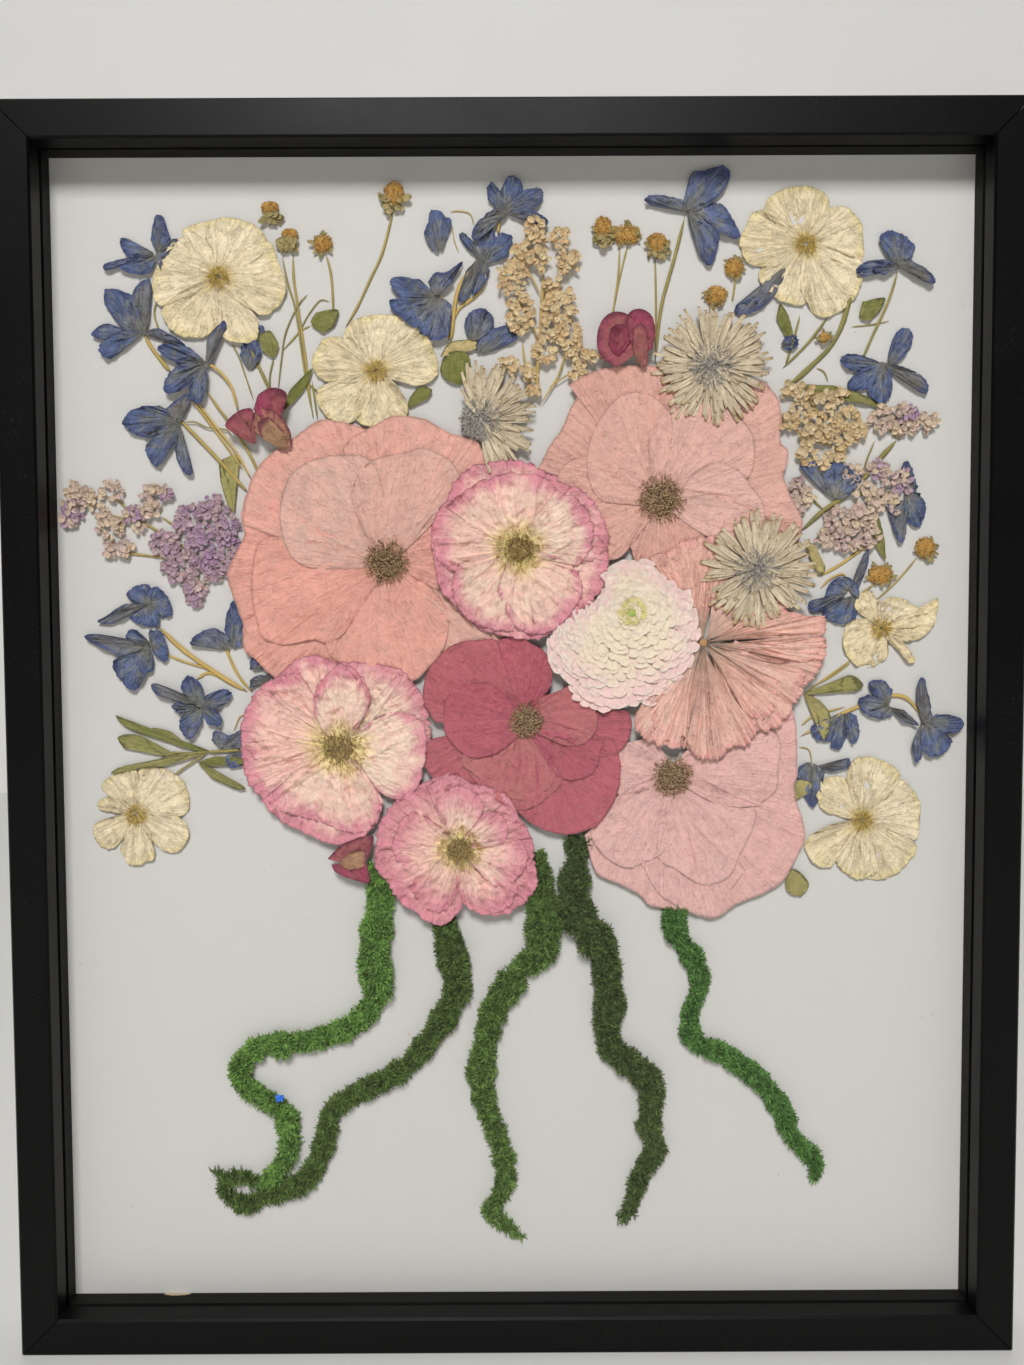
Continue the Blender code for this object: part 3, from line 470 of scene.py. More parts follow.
class Shader:
    """A material's nodes, made by one method and joined by expressions."""

    def __init__(self, name):
        self.material = bpy.data.materials.new(name)
        self.material.use_nodes = True
        self.tree = self.material.node_tree
        self.surface = self.tree.nodes["Principled BSDF"]

    def node(self, kind, settings=None, inputs=None):
        """A new node with its settings and what goes into its sockets."""
        node = self.tree.nodes.new(kind)
        for key, value in (settings or {}).items():
            setattr(node, key, value)
        for key, value in (inputs or {}).items():
            self.join(node.inputs[key], value)
        return node

    def join(self, socket, value):
        """Link a value to a socket, or set the socket to it where it is a constant."""
        if isinstance(value, Value):
            value = value.socket
        if isinstance(value, bpy.types.NodeSocket):
            self.tree.links.new(value, socket)
        else:
            socket.default_value = value

    def places(self):
        """Object coordinates, in metres."""
        return self.node("ShaderNodeTexCoord").outputs["Object"]

    def petal_way(self):
        """How far across and along its petal a point is, each from 0 to 1."""
        source = self.node("ShaderNodeUVMap", {"uv_map": "petal"})
        parts = self.node("ShaderNodeSeparateXYZ", None, {0: source.outputs[0]})
        return Value(self, parts.outputs[0]), Value(self, parts.outputs[1])

    def relief(self):
        """How far a petal stands above or lies below its own layer, from -1 to 1."""
        return Value(self, self.node("ShaderNodeAttribute", {"attribute_name": "relief"}).outputs["Fac"])

    def tone(self):
        """The shade that each vertex was given, from 0 to 1."""
        return Value(self, self.node("ShaderNodeAttribute", {"attribute_name": "tone"}).outputs["Fac"])

    def vector(self, x, y, z):
        return self.node("ShaderNodeCombineXYZ", None, {0: x, 1: y, 2: z}).outputs[0]

    def noise(self, where, scale, detail=3.0, roughness=0.55, distortion=0.0):
        node = self.node(
            "ShaderNodeTexNoise", None,
            {
                "Vector": where, "Scale": scale, "Detail": detail, "Roughness": roughness,
                "Distortion": distortion,
            },
        )
        return Value(self, node.outputs["Fac"])

    def mix(self, share, first, second, blend="MIX"):
        """Two colours mixed by a share from 0 to 1."""
        settings = {"data_type": "RGBA", "blend_type": blend}
        return self.node("ShaderNodeMix", settings, {0: share, 6: first, 7: second}).outputs[2]

    def shaded(self, color, shade):
        """A colour made lighter or darker by a factor."""
        return self.mix(1.0, color, self.vector(shade, shade, shade), "MULTIPLY")

    def bump(self, height, strength, distance):
        """Surface relief of this height, with its distance in mm."""
        inputs = {"Height": height, "Strength": strength, "Distance": distance * MM}
        return self.node("ShaderNodeBump", None, inputs).outputs[0]

    def finish(self, color=None, roughness=None, normal=None, **constants):
        """Join what was made to the surface, set its constants and give the material."""
        for key, value in (("Base Color", color), ("Roughness", roughness), ("Normal", normal)):
            if value is not None:
                self.join(self.surface.inputs[key], value)
        for key, value in constants.items():
            self.surface.inputs[key.replace("_", " ")].default_value = value
        return self.material


def petal_material(name, pure, spent, hub=None, rim=None, hub_reach=0.3, rim_start=0.8, veins=0.3, streaks=30,
                   blotch=0.3, relief=0.8, stain=None, edge=0.35, painted_fold_shading=0.22, deep=1.5, crease_scale=330):
    """Dry petal: two colours by tone, its own colour at hub and rim, veins that run out from the hub.

    stain is a third colour that comes in patches, edge is how dark the painted shade along the thin outline
    is, and painted_fold_shading how much painted shade lies between the petal's folds and painted light on
    their crests. relief and deep, in mm, are how strong and how deep the fine relief is, and a smaller
    crease_scale makes its creases broader; the creases of that relief are also darkened with painted shade.
    """
    shader = Shader(name)
    across, along = shader.petal_way()
    tone = shader.tone()
    where = shader.places()
    cloud = shader.noise(where, 110, 4.0, 0.6)
    drift = cloud * 1.6
    vein = shader.noise(shader.vector(across * streaks + drift, along * 1.6 + drift, tone * 9), 1.0, 3.0, 0.6)
    line = 1 - (vein - 0.5).absolute().ramp(0.0, 0.05)
    grain = shader.noise(where, 1100, 4.0, 0.7)
    creases = shader.noise(where, crease_scale, 5.0, 0.6, 1.4)
    color = shader.mix((tone + (cloud - 0.5) * 0.9).clamped(), pure, spent)
    if stain:
        color = shader.mix(shader.noise(where, 160, 3.0, 0.6, 0.8).ramp(0.47, 0.62), color, stain)
    if rim:
        share = (along + (cloud - 0.5) * 0.5 + (vein - 0.5) * 0.3).ramp(rim_start, 1.0) * 0.9
        color = shader.mix(share, color, rim)
    if hub:
        share = (along + (vein - 0.5) * 0.4).ramp(hub_reach, 0.03)
        color = shader.mix(share, color, hub)
    # The thin outline of each petal, darkened below as painted shade
    outline = ((across - 0.5).absolute() * 2).ramp(0.965, 1.0) + along.ramp(0.975, 1.0)
    shade = 1.02 - line * veins * 0.55 - (cloud - 0.5) * blotch - (grain - 0.5) * 0.3
    # Painted shade in the creases of the fine relief, along the thin outline and between the folds, and
    # painted light on the fold crests
    shade = shade - creases.ramp(0.5, 0.3) * 0.14 - outline.clamped() * edge + shader.relief() * painted_fold_shading
    color = shader.shaded(color, shade)
    height = vein * 0.9 + grain * 0.25 + creases * 0.9 - line * 0.12
    return shader.finish(color, 0.58 + grain * 0.3, shader.bump(height, relief, deep))


def grain_material(name, dark, pale, scale=900):
    """Stamens, buttons, stems and other rough small things, by tone and a fine noise."""
    shader = Shader(name)
    where = shader.places()
    mottle = shader.noise(where, scale, 4.0, 0.7)
    share = (shader.tone() * 0.6 + mottle.ramp(0.3, 0.7) * 0.4).clamped()
    color = shader.mix(share, dark, pale)
    return shader.finish(color, 0.6 + mottle * 0.3, shader.bump(mottle, 0.5, 0.3))


def stem_material(name, green, gold):
    """A dry stem: green where fresh, golden where spent, with fine lengthwise lines."""
    shader = Shader(name)
    across, along = shader.petal_way()
    where = shader.places()
    lines = shader.noise(shader.vector(across * 14, along * 1.5, 0.0), 1.0, 3.0, 0.6)
    patch = shader.noise(where, 160, 2.0)
    share = (shader.tone() + (patch - 0.5) * 0.8).clamped()
    color = shader.mix(share, green, gold)
    shade = 0.78 + lines * 0.4
    color = shader.shaded(color, shade)
    return shader.finish(color, 0.55 + lines * 0.3, shader.bump(lines, 0.6, 0.25))


# The blooms' petals: each is its tone and the pixels of its rim, from one edge round to the other.
# The lowest petal comes first.
POPPIES = {
    "poppy_left": ((387, 562), POPPY, [
        (0.1, [(262, 645), (250, 640), (240, 615), (229, 585), (228, 572), (236, 553), (244, 535),
            (242, 515), (247, 493), (258, 480)]),
        (0.3, [(243, 525), (247, 493), (262, 462), (288, 443), (318, 421), (340, 422), (368, 431),
            (380, 450)]),
        (0.1, [(243, 620), (244, 648), (258, 662), (274, 677), (300, 690), (345, 690)]),
        (0.6, [(446, 560), (478, 590), (497, 620), (500, 645), (450, 660)]),
        (0.35, [(342, 450), (353, 437), (366, 430), (380, 422), (396, 416), (424, 419), (447, 432),
            (463, 437), (476, 441), (484, 455), (490, 480), (480, 515)]),
        (0.2, [(470, 500), (480, 540), (470, 580), (440, 590), (412, 575)]),
        (0.15, [(325, 643), (330, 656), (342, 664), (370, 680), (400, 684), (418, 678), (432, 664),
            (442, 652), (448, 635), (447, 612), (437, 594), (423, 582), (408, 573)]),
        (0.0, [(270, 536), (258, 545), (253, 562), (251, 590), (256, 618), (262, 637), (275, 643),
            (284, 645), (313, 640), (325, 643), (337, 639), (347, 630), (358, 607), (367, 596),
            (378, 584)]),
        (0.75, [(366, 562), (343, 566), (325, 569), (308, 567), (295, 560), (286, 547), (281, 532),
            (280, 512), (283, 492), (292, 474), (305, 464), (325, 457), (345, 455), (365, 457),
            (378, 470)]),
        (0.65, [(373, 540), (360, 522), (353, 505), (352, 490), (358, 476), (367, 464), (385, 456),
            (405, 453), (422, 448), (440, 454), (452, 463), (460, 478), (458, 495), (440, 508),
            (428, 520)]),
    ], 7.9),
    "poppy_right": ((661, 499), POPPY, [
        (0.3, [(537, 470), (549, 447), (562, 428), (577, 398), (600, 390)]),
        (0.1, [(569, 386), (578, 378), (592, 372), (608, 368), (630, 366), (656, 367), (668, 382),
            (690, 400)]),
        (0.4, [(715, 385), (740, 381), (757, 381), (770, 388), (779, 402), (781, 425), (780, 442),
            (788, 451), (787, 463), (784, 476), (790, 495), (799, 512), (802, 530), (790, 560)]),
        (0.3, [(590, 455), (570, 461), (558, 474), (553, 500), (565, 535), (590, 555), (608, 560),
            (622, 556), (634, 541), (650, 520)]),
        (0.2, [(630, 545), (640, 575), (665, 585), (690, 570), (710, 555), (725, 520)]),
        (0.5, [(640, 503), (625, 504), (605, 502), (594, 492), (587, 472), (587, 450), (593, 432),
            (603, 414), (618, 398), (635, 392), (652, 396), (665, 408), (672, 420)]),
        (0.7, [(657, 475), (650, 456), (648, 436), (655, 421), (672, 408), (700, 400), (730, 410),
            (748, 427), (754, 442), (754, 458), (748, 477), (720, 490)]),
        (0.9, [(682, 488), (693, 474), (708, 465), (722, 463), (738, 471), (752, 487), (762, 502),
            (765, 520), (755, 540), (720, 545)]),
    ], 8.7),
    "poppy_pale": ((672, 776), POPPY, [
        (0.3, [(584, 835), (588, 850), (597, 873), (620, 884), (640, 895), (650, 905), (680, 910),
            (700, 908), (730, 890), (745, 870)]),
        (0.2, [(700, 915), (714, 918), (735, 905), (765, 892), (785, 878), (800, 850), (805, 835),
            (801, 815), (795, 795), (797, 770), (797, 740), (793, 711), (780, 715)]),
        (0.4, [(640, 862), (660, 895), (690, 912), (715, 917), (735, 905)]),
        (0.5, [(655, 737), (630, 742), (620, 745), (618, 770), (617, 793), (638, 792)]),
        (0.45, [(618, 795), (600, 815), (590, 833), (600, 852), (612, 862), (628, 868), (645, 862),
            (657, 857), (670, 845), (678, 832), (680, 815), (676, 795)]),
        (0.5, [(672, 800), (665, 830), (657, 857), (680, 872), (700, 884), (718, 883), (732, 873),
            (737, 860), (745, 845), (756, 821), (755, 808), (750, 795)]),
        (0.35, [(690, 755), (712, 732), (775, 733), (778, 770), (776, 790), (765, 800), (755, 806),
            (720, 805), (690, 790)]),
    ], 7.3),
    "poppy_rose": ((526, 721), ROSE, [
        (0.3, [(452, 735), (430, 740), (424, 755), (426, 768), (440, 785), (470, 800), (505, 790)]),
        (0.2, [(510, 805), (530, 822), (545, 830), (563, 834), (580, 832), (598, 825), (612, 805),
            (618, 790), (621, 765), (614, 740)]),
        (0.1, [(598, 708), (615, 709), (628, 712), (632, 724), (628, 740), (618, 753), (603, 757),
            (585, 755)]),
        (0.6, [(470, 760), (470, 775), (490, 795), (510, 808), (525, 810), (545, 800), (562, 780),
            (558, 745)]),
        (0.9, [(463, 750), (463, 765), (475, 775), (490, 787), (505, 797), (525, 800), (541, 795),
            (553, 783), (558, 768), (559, 755), (552, 745), (541, 736)]),
        (0.0, [(545, 738), (600, 740), (600, 752), (598, 765), (590, 775), (572, 780), (557, 777)]),
        (0.35, [(435, 722), (425, 705), (423, 690), (427, 672), (440, 655), (455, 644), (475, 640),
            (497, 640), (520, 650)]),
        (0.1, [(497, 641), (515, 636), (535, 645), (547, 655), (552, 672), (551, 685), (543, 695),
            (533, 705)]),
        (0.75, [(541, 697), (560, 690), (572, 685), (588, 700), (597, 715), (597, 728), (588, 740),
            (575, 746), (558, 743), (540, 735)]),
        (0.0, [(513, 740), (505, 748), (490, 755), (470, 757), (455, 747), (445, 732), (444, 712),
            (445, 700), (458, 688), (478, 683), (498, 688), (510, 703)]),
    ], 6.1),
}

ROSES = {
    "rose_centre": ((519, 549), TOP, [
        (0.2, [(440, 515), (446, 500), (456, 480), (475, 465), (506, 461), (531, 464), (556, 478)]),
        (0.5, [(548, 472), (566, 485), (580, 489), (594, 503), (606, 526), (608, 545), (592, 562)]),
        (0.3, [(598, 535), (608, 552), (605, 583), (588, 606), (562, 628)]),
        (0.3, [(433, 545), (436, 578), (449, 600), (468, 620), (493, 634), (527, 640), (552, 634)]),
        (0.5, [(448, 500), (437, 512), (431, 535), (433, 553), (446, 568), (464, 576)]),
        (0.6, [(447, 508), (462, 494), (485, 480), (512, 474), (545, 478), (556, 492), (553, 524)]),
        (0.8, [(458, 564), (452, 584), (457, 606), (475, 624), (508, 632), (534, 628)]),
        (0.6, [(497, 592), (512, 622), (530, 634), (552, 631), (573, 611), (582, 592), (579, 574),
            (566, 561), (550, 558)]),
        (0.9, [(556, 490), (578, 500), (592, 520), (592, 545), (578, 566)]),
    ], 7.6, [
        ((441, 510), (478, 482)), ((487, 490), (500, 510)), ((478, 521), (497, 530)),
        ((452, 544), (478, 540)), ((545, 490), (551, 528)), ((502, 593), (528, 632)),
        ((540, 560), (575, 540)), ((434, 555), (458, 572)), ((510, 500), (520, 488)),
        ((508, 520), (530, 505)), ((480, 575), (496, 560)), ((560, 600), (545, 575)),
    ]),
    "rose_left": ((340, 748), ROSE, [
        (0.6, [(268, 690), (284, 670), (299, 658), (318, 655), (333, 661), (352, 662), (375, 663),
            (403, 671), (415, 684)]),
        (0.8, [(400, 672), (416, 684), (424, 700), (430, 722), (430, 742), (424, 760)]),
        (0.3, [(300, 672), (280, 676), (264, 684), (252, 699), (242, 722), (242, 740), (256, 760)]),
        (0.2, [(242, 730), (242, 756), (249, 783), (268, 801), (292, 816)]),
        (0.3, [(262, 800), (280, 820), (300, 830), (332, 844), (357, 840), (377, 823), (384, 800)]),
        (0.7, [(272, 792), (284, 812), (317, 820), (345, 832), (362, 832), (375, 824), (380, 803),
            (374, 783), (358, 764)]),
        (0.9, [(357, 760), (366, 778), (380, 792), (395, 799), (412, 793), (422, 775), (427, 748),
            (423, 722), (405, 712), (380, 716), (368, 730)]),
        (0.8, [(315, 716), (314, 698), (322, 680), (340, 664), (360, 674), (370, 694), (366, 714),
            (354, 726)]),
    ], 8.8, [
        ((284, 673), (316, 683)), ((269, 691), (299, 689)), ((301, 691), (318, 728)),
        ((334, 669), (314, 710)), ((344, 665), (372, 690)), ((372, 690), (391, 717)),
        ((374, 668), (391, 717)), ((362, 737), (392, 719)), ((275, 762), (314, 748)),
        ((253, 722), (277, 762)), ((271, 799), (324, 767)), ((318, 818), (332, 775)),
        ((283, 812), (325, 797)), ((250, 735), (262, 745)), ((390, 745), (375, 748)),
    ]),
    "rose_low": ((460, 849), TOP, [
        (0.1, [(374, 862), (376, 842), (380, 822), (393, 803), (404, 794), (424, 782), (450, 772)]),
        (0.3, [(426, 786), (440, 778), (456, 774), (470, 782), (492, 788), (510, 798), (518, 815)]),
        (0.2, [(505, 800), (518, 815), (527, 828), (533, 842), (532, 862), (520, 876)]),
        (0.2, [(518, 850), (534, 862), (537, 882), (526, 902), (503, 915), (482, 912)]),
        (0.2, [(378, 850), (375, 866), (386, 880), (396, 896), (412, 910), (440, 925), (462, 908)]),
        (0.4, [(410, 868), (396, 858), (392, 842), (400, 822), (412, 812), (430, 818), (442, 832)]),
        (0.5, [(418, 876), (410, 888), (418, 900), (432, 911), (447, 909), (458, 892)]),
        (0.6, [(456, 884), (462, 900), (474, 911), (492, 915), (508, 906), (518, 890), (512, 876)]),
        (0.5, [(474, 866), (490, 884), (503, 886), (518, 877), (528, 860), (522, 840), (505, 838),
            (490, 842)]),
        (0.6, [(470, 832), (482, 815), (500, 813), (508, 828), (504, 842), (490, 846), (475, 843)]),
        (0.7, [(446, 822), (436, 808), (440, 795), (458, 786), (476, 793), (483, 808), (477, 822),
            (466, 833)]),
    ], 6.9, [((416, 808), (440, 834)), ((458, 870), (460, 895)), ((476, 866), (492, 886))]),
}


def build_poppies():
    """Broad flat petals with pleats, and an olive button crowded with stamens."""
    colours = {
        "poppy_left": (tint(232, 166, 150), tint(220, 182, 168), tint(204, 150, 124), "coral"),
        "poppy_right": (tint(222, 168, 152), tint(228, 184, 172), tint(196, 140, 120), "blush"),
        "poppy_pale": (tint(226, 176, 168), tint(232, 190, 182), tint(222, 160, 146), "blush"),
        "poppy_rose": (tint(184, 94, 108), tint(190, 116, 114), tint(206, 140, 98), "deep_rose"),
    }
    olive = grain_material("poppy button", tint(70, 44, 28), tint(240, 206, 158))
    for name, (hub, lift, petals, button) in POPPIES.items():
        pure, spent, heart, slot = colours[name]
        piece = Piece(name)
        for index, (tone, rim) in enumerate(petals):
            piece.petal(
                hub, rim, lift + POPPY_STEP * index, tone, size=(76, 36), crumple=0.75, pleat=0.3, rise=0.3,
                teeth=0.35, frill=0.4, creases=1,
            )
        top = lift + POPPY_STEP * len(petals)
        piece.dome(hub, button * 0.85, top, 0.8, tone=0.0)
        piece.grains(hub, button, 420, top, 1.2, 0.46)
        piece.grains(hub, button * 1.18, 90, top, 0.1, 0.4, lean=1.6, tones=(0.0, 0.6), inner=0.8)
        # The petals carry a little painted shade between their folds and painted light on their crests
        petal = petal_material(
            f"{name} petals", pure, spent, hub=heart, hub_reach=0.2, veins=0.12, painted_fold_shading=0.1
        )
        piece.finish([petal, petal, olive], slot, [name])


def build_roses():
    """Crumpled blooms: cream petals with pink rims and sharp folds round a yellow heart."""
    yellow = grain_material("rose stamens", tint(92, 62, 50), tint(250, 214, 126))
    for name, (hub, lift, petals, button, folds) in ROSES.items():
        piece = Piece(name)
        for index, (tone, rim) in enumerate(petals):
            piece.petal(
                hub, rim, lift + ROSE_STEP * index - 0.4, tone, size=(84, 50), crumple=1.35, pleat=0.4,
                rise=0.4, folds=folds, teeth=1.0, frill=1.2, creases=3, waves=6,
            )
        top = lift + ROSE_STEP * len(petals) + 0.2
        piece.dome(hub, button * 0.65, top, 0.5, tone=0.1)
        piece.grains(hub, button * 0.8, 300, top, 0.8, 0.4, tones=(0.0, 0.6))
        piece.grains(hub, button * 1.3, 170, top, 0.3, 0.4, lean=1.8, tones=(0.6, 1.0), inner=0.55)
        blush_start = 0.4 if name == "rose_low" else 0.72
        # The petals carry painted shade between their folds, in their creases and along their outlines
        petal = petal_material(
            f"{name} petals", tint(236, 184, 174), tint(244, 214, 192), hub=tint(244, 220, 142),
            hub_reach=0.46, rim=tint(214, 134, 150), rim_start=blush_start, veins=0.15,
            stain=tint(234, 192, 178), painted_fold_shading=0.12, edge=0.45, blotch=0.15, relief=1.0, deep=1.5,
            crease_scale=170, streaks=16,
        )
        piece.finish([petal, petal, yellow], "ruffle_pink", [name])


RANUNCULUS_HUB = (632, 613)
RANUNCULUS_RIM = [
    (547, 640), (546, 660), (560, 678), (575, 697), (600, 714), (645, 705), (675, 685), (698, 655),
    (699, 620),
    (688, 595), (667, 578), (645, 560), (612, 562), (603, 590), (575, 615), (547, 640),
]
# The rings that its petals stand in, the most petals in a ring, and the petals of its green heart
RANUNCULUS_RINGS = 15
RANUNCULUS_RING_PETALS = 44
RANUNCULUS_HEART_PETALS = 26


def build_ranunculus():
    """Dozens of small scalloped petals, matted together, that draw in to a green eye."""
    piece = Piece("ranunculus")
    rim = [spot(pixel, CROWN) for pixel in RANUNCULUS_RIM]
    hub = spot(RANUNCULUS_HUB, CROWN)
    hub_x, hub_y = RANUNCULUS_HUB

    def ground(across, along):
        flat = hub + (curve_through(rim, across) - hub) * (0.04 + 0.92 * along)
        return raised(flat, CROWN - 0.1 + 0.3 * wrinkle(flat, 8.0))

    piece.grid(120, 30, ground, 0.5)
    for ring in range(RANUNCULUS_RINGS):
        share = 1 - ring / (RANUNCULUS_RINGS + 0.8)
        count = max(8, round(RANUNCULUS_RING_PETALS * share))
        for step in range(count):
            turn = ((step + 0.5 * (ring % 2) + piece.random.gauss(0, 0.16)) / count) % 1.0
            crown = hub + (curve_through(rim, turn) - hub) * share * piece.random.uniform(0.95, 1.03)
            out = (crown - hub).normalized()
            out = (out + quarter_turn(out) * piece.random.gauss(0, 0.22)).normalized()
            side = quarter_turn(out)
            wide = 3.0 * (0.6 + 0.4 * share) * piece.random.uniform(0.75, 1.35)
            long = min((crown - hub).length, 6.5)
            lift = CROWN + 0.045 * ring + piece.random.uniform(0, 0.2)
            seed = piece.random.uniform(0, 90)
            curl = piece.random.uniform(0.2, 0.8)

            def place(across, along):
                bow = math.sin(math.pi * across) ** 0.6
                reach = along * (0.8 + 0.2 * bow) + 0.05 * noise.noise(Vector((across * 4, seed, 0)))
                flare = (across * 2 - 1) * wide * (0.35 + 0.65 * along)
                flat = crown + out * long * (reach - 1) + side * flare
                height = curl * along**3 * (0.4 + 0.6 * bow) + 0.75 * wrinkle(flat, 5.0) * along
                return raised(flat, lift + height + 0.3 * noise.noise(Vector((across * 5, along * 4, seed))))

            blush = 1.5 * share**2 - 0.35 + piece.random.gauss(0, 0.12)
            piece.grid(10, 8, place, min(1.0, max(0.0, blush)))
    for step in range(RANUNCULUS_HEART_PETALS):
        turn = step * 2.4 + piece.random.gauss(0, 0.2)
        near = piece.random.uniform(1, 7)
        far = near + piece.random.uniform(6, 11)
        start = (hub_x + near * math.cos(turn), hub_y + near * math.sin(turn))
        outline = [
            (hub_x + far * math.cos(turn + bend), hub_y + far * math.sin(turn + bend))
            for bend in (-0.35, 0.0, 0.35)
        ]
        piece.petal(
            start, outline, CROWN + 0.85, 0.4, slot=STEM, size=(9, 9), crumple=0.7, frill=1.2, pleat=0.8
        )
    piece.dome(RANUNCULUS_HUB, 1.9, CROWN + 0.8, 0.7, lump=0.5)
    petal = petal_material(
        "ranunculus petals", tint(240, 224, 196), tint(240, 204, 200), rim=tint(240, 230, 214),
        rim_start=0.9,
        veins=0.1, edge=0.3, blotch=0.15, relief=0.35, deep=0.9,
    )
    lime = petal_material("ranunculus heart", tint(222, 208, 124), tint(240, 226, 178), veins=0.2, streaks=6)
    eye = grain_material("ranunculus eye", tint(120, 150, 50), tint(200, 210, 120))
    piece.finish([petal, lime, eye], "pale_cream", ["ranunculus"])


CARNATION_HUB = (703, 643)
CARNATION_PETALS = [
    (0.3, [(706, 548), (735, 556), (756, 572), (775, 592), (788, 612), (790, 630)]),
    (0.2, [(684, 552), (700, 545), (716, 548), (724, 562)]),
    (0.3, [(668, 732), (680, 746), (696, 752), (708, 750)]),
    (0.2, [(640, 640), (640, 668), (648, 690), (664, 712), (690, 728)]),
    (0.4, [(735, 640), (772, 672), (778, 700), (752, 726), (724, 738)]),
    (0.1, [(650, 572), (645, 560), (661, 554), (680, 542), (700, 537), (718, 538), (716, 575)]),
    (0.1, [(645, 600), (650, 575), (668, 562), (690, 556), (700, 580)]),
    (0.2, [(745, 615), (765, 611), (785, 611), (810, 616), (824, 617), (825, 632), (815, 640)]),
    (0.5, [(800, 632), (825, 640), (824, 658), (816, 676), (803, 688)]),
    (0.3, [(775, 645), (822, 637), (818, 650), (808, 662), (785, 660), (765, 652)]),
    (0.4, [(770, 662), (800, 665), (804, 680), (797, 700), (785, 702), (772, 690)]),
    (0.4, [(765, 690), (792, 704), (782, 722), (765, 731), (752, 728), (742, 712)]),
    (0.2, [(778, 688), (772, 712), (757, 719), (743, 713), (738, 700)]),
    (0.3, [(758, 730), (750, 743), (735, 747), (716, 749), (711, 735), (709, 700)]),
    (0.5, [(686, 740), (695, 756), (708, 759), (720, 758), (728, 748)]),
    (0.2, [(686, 735), (668, 740), (655, 733), (653, 715), (665, 700)]),
    (0.5, [(680, 748), (660, 745), (641, 736), (634, 724), (640, 706), (655, 694)]),
]


def build_carnation():
    """Fan-shaped petals on thin claws with toothed rims."""
    piece = Piece("carnation")
    for index, (tone, rim) in enumerate(CARNATION_PETALS):
        piece.petal(
            CARNATION_HUB, rim, ROSE + 0.12 * index, tone, size=(84, 36), spread=1.35, teeth=1.5, pleat=0.8,
            crumple=0.4, rise=0.5, frill=1.3, creases=2,
        )
    piece.dome(CARNATION_HUB, 1.8, ROSE + 1.0, 0.6, tone=0.2)
    petal = petal_material(
        "carnation petals", tint(238, 184, 166), tint(244, 204, 190), hub=tint(236, 200, 176),
        hub_reach=0.4,
        rim=tint(240, 176, 166), rim_start=0.9, veins=0.22, streaks=22, relief=1.0,
    )
    heart = grain_material("carnation heart", tint(160, 110, 70), tint(214, 180, 130))
    piece.finish([petal, petal, heart], "coral", ["carnation"])


# Asters: middle, layer, reach in mm, first angle and sweep in degrees, and the disc's radius in mm
ASTERS = {
    "aster_upper": ((711, 366), ROSE, 27.0, 0, 360, 8.4),
    "aster_right": ((757, 570), TOP, 26.0, 0, 360, 8.2),
    "aster_side": ((480, 420), ROSE, 25.0, -80, 195, 8.0),
}
# Length, as a share of the reach, and number of the rays in each tier of a full aster, from the board up
ASTER_TIERS = ((1.0, 40), (0.97, 38), (0.86, 30), (0.62, 26), (0.44, 22))


def build_asters():
    """Tiers of narrow curled rays that fade to grey round a ragged grey disc."""
    ray_look = petal_material(
        "aster rays", tint(240, 222, 190), tint(214, 196, 166), hub=tint(186, 178, 168),
        hub_reach=0.5, veins=0.5,
        streaks=5, relief=0.7, edge=0.75, rim=tint(206, 178, 128), rim_start=0.9,
    )
    disc_look = grain_material("aster disc", tint(112, 106, 100), tint(222, 216, 206))
    for name, (hub, lift, reach, start, sweep, disc) in ASTERS.items():
        piece = Piece(name)
        centre = spot(hub, lift)
        for tier, (shrink, rays) in enumerate(ASTER_TIERS):
            outer = tier < 3
            count = round(rays * sweep / 360)
            for step in range(count):
                angle = math.radians(start + (step + tier * 0.37) * sweep / count)
                angle += piece.random.gauss(0, 0.06)
                out = towards(angle)
                side = quarter_turn(out)
                long = reach * shrink * piece.random.uniform(0.8, 1.03)
                wide = piece.random.uniform(0.75, 1.25) * (1 if outer else 0.7)
                bend = piece.random.gauss(0, 1.2)
                height = lift + 0.32 * tier + piece.random.uniform(0, 0.35)
                arch = piece.random.uniform(0.2, 0.9)
                foot = disc * (0.55 if outer else 0.15)

                def place(across, along):
                    far = foot + (long - foot) * along
                    shape = 0.3 + 0.85 * math.sin(math.pi * (0.06 + 0.8 * along)) ** 1.2
                    flat = centre + out * far + side * ((across * 2 - 1) * wide * shape + bend * along**2)
                    gutter = abs(across * 2 - 1) * 0.55 * arch
                    wave = 0.35 * noise.noise(Vector((along * 5, angle * 9, 0)))
                    return raised(flat, height + gutter + wave + arch * math.sin(math.pi * along) * 0.5)

                piece.grid(5, 9, place, piece.random.uniform(0, 1))
        piece.dome(hub, disc, lift + 0.9, 0.6, tone=0.3, lump=0.5)
        piece.grains(hub, disc, 520, lift + 1.1, 0.7, 0.42, lean=1.4, tones=(0.2, 1.0))
        piece.finish([ray_look, ray_look, disc_look], "straw", [name])


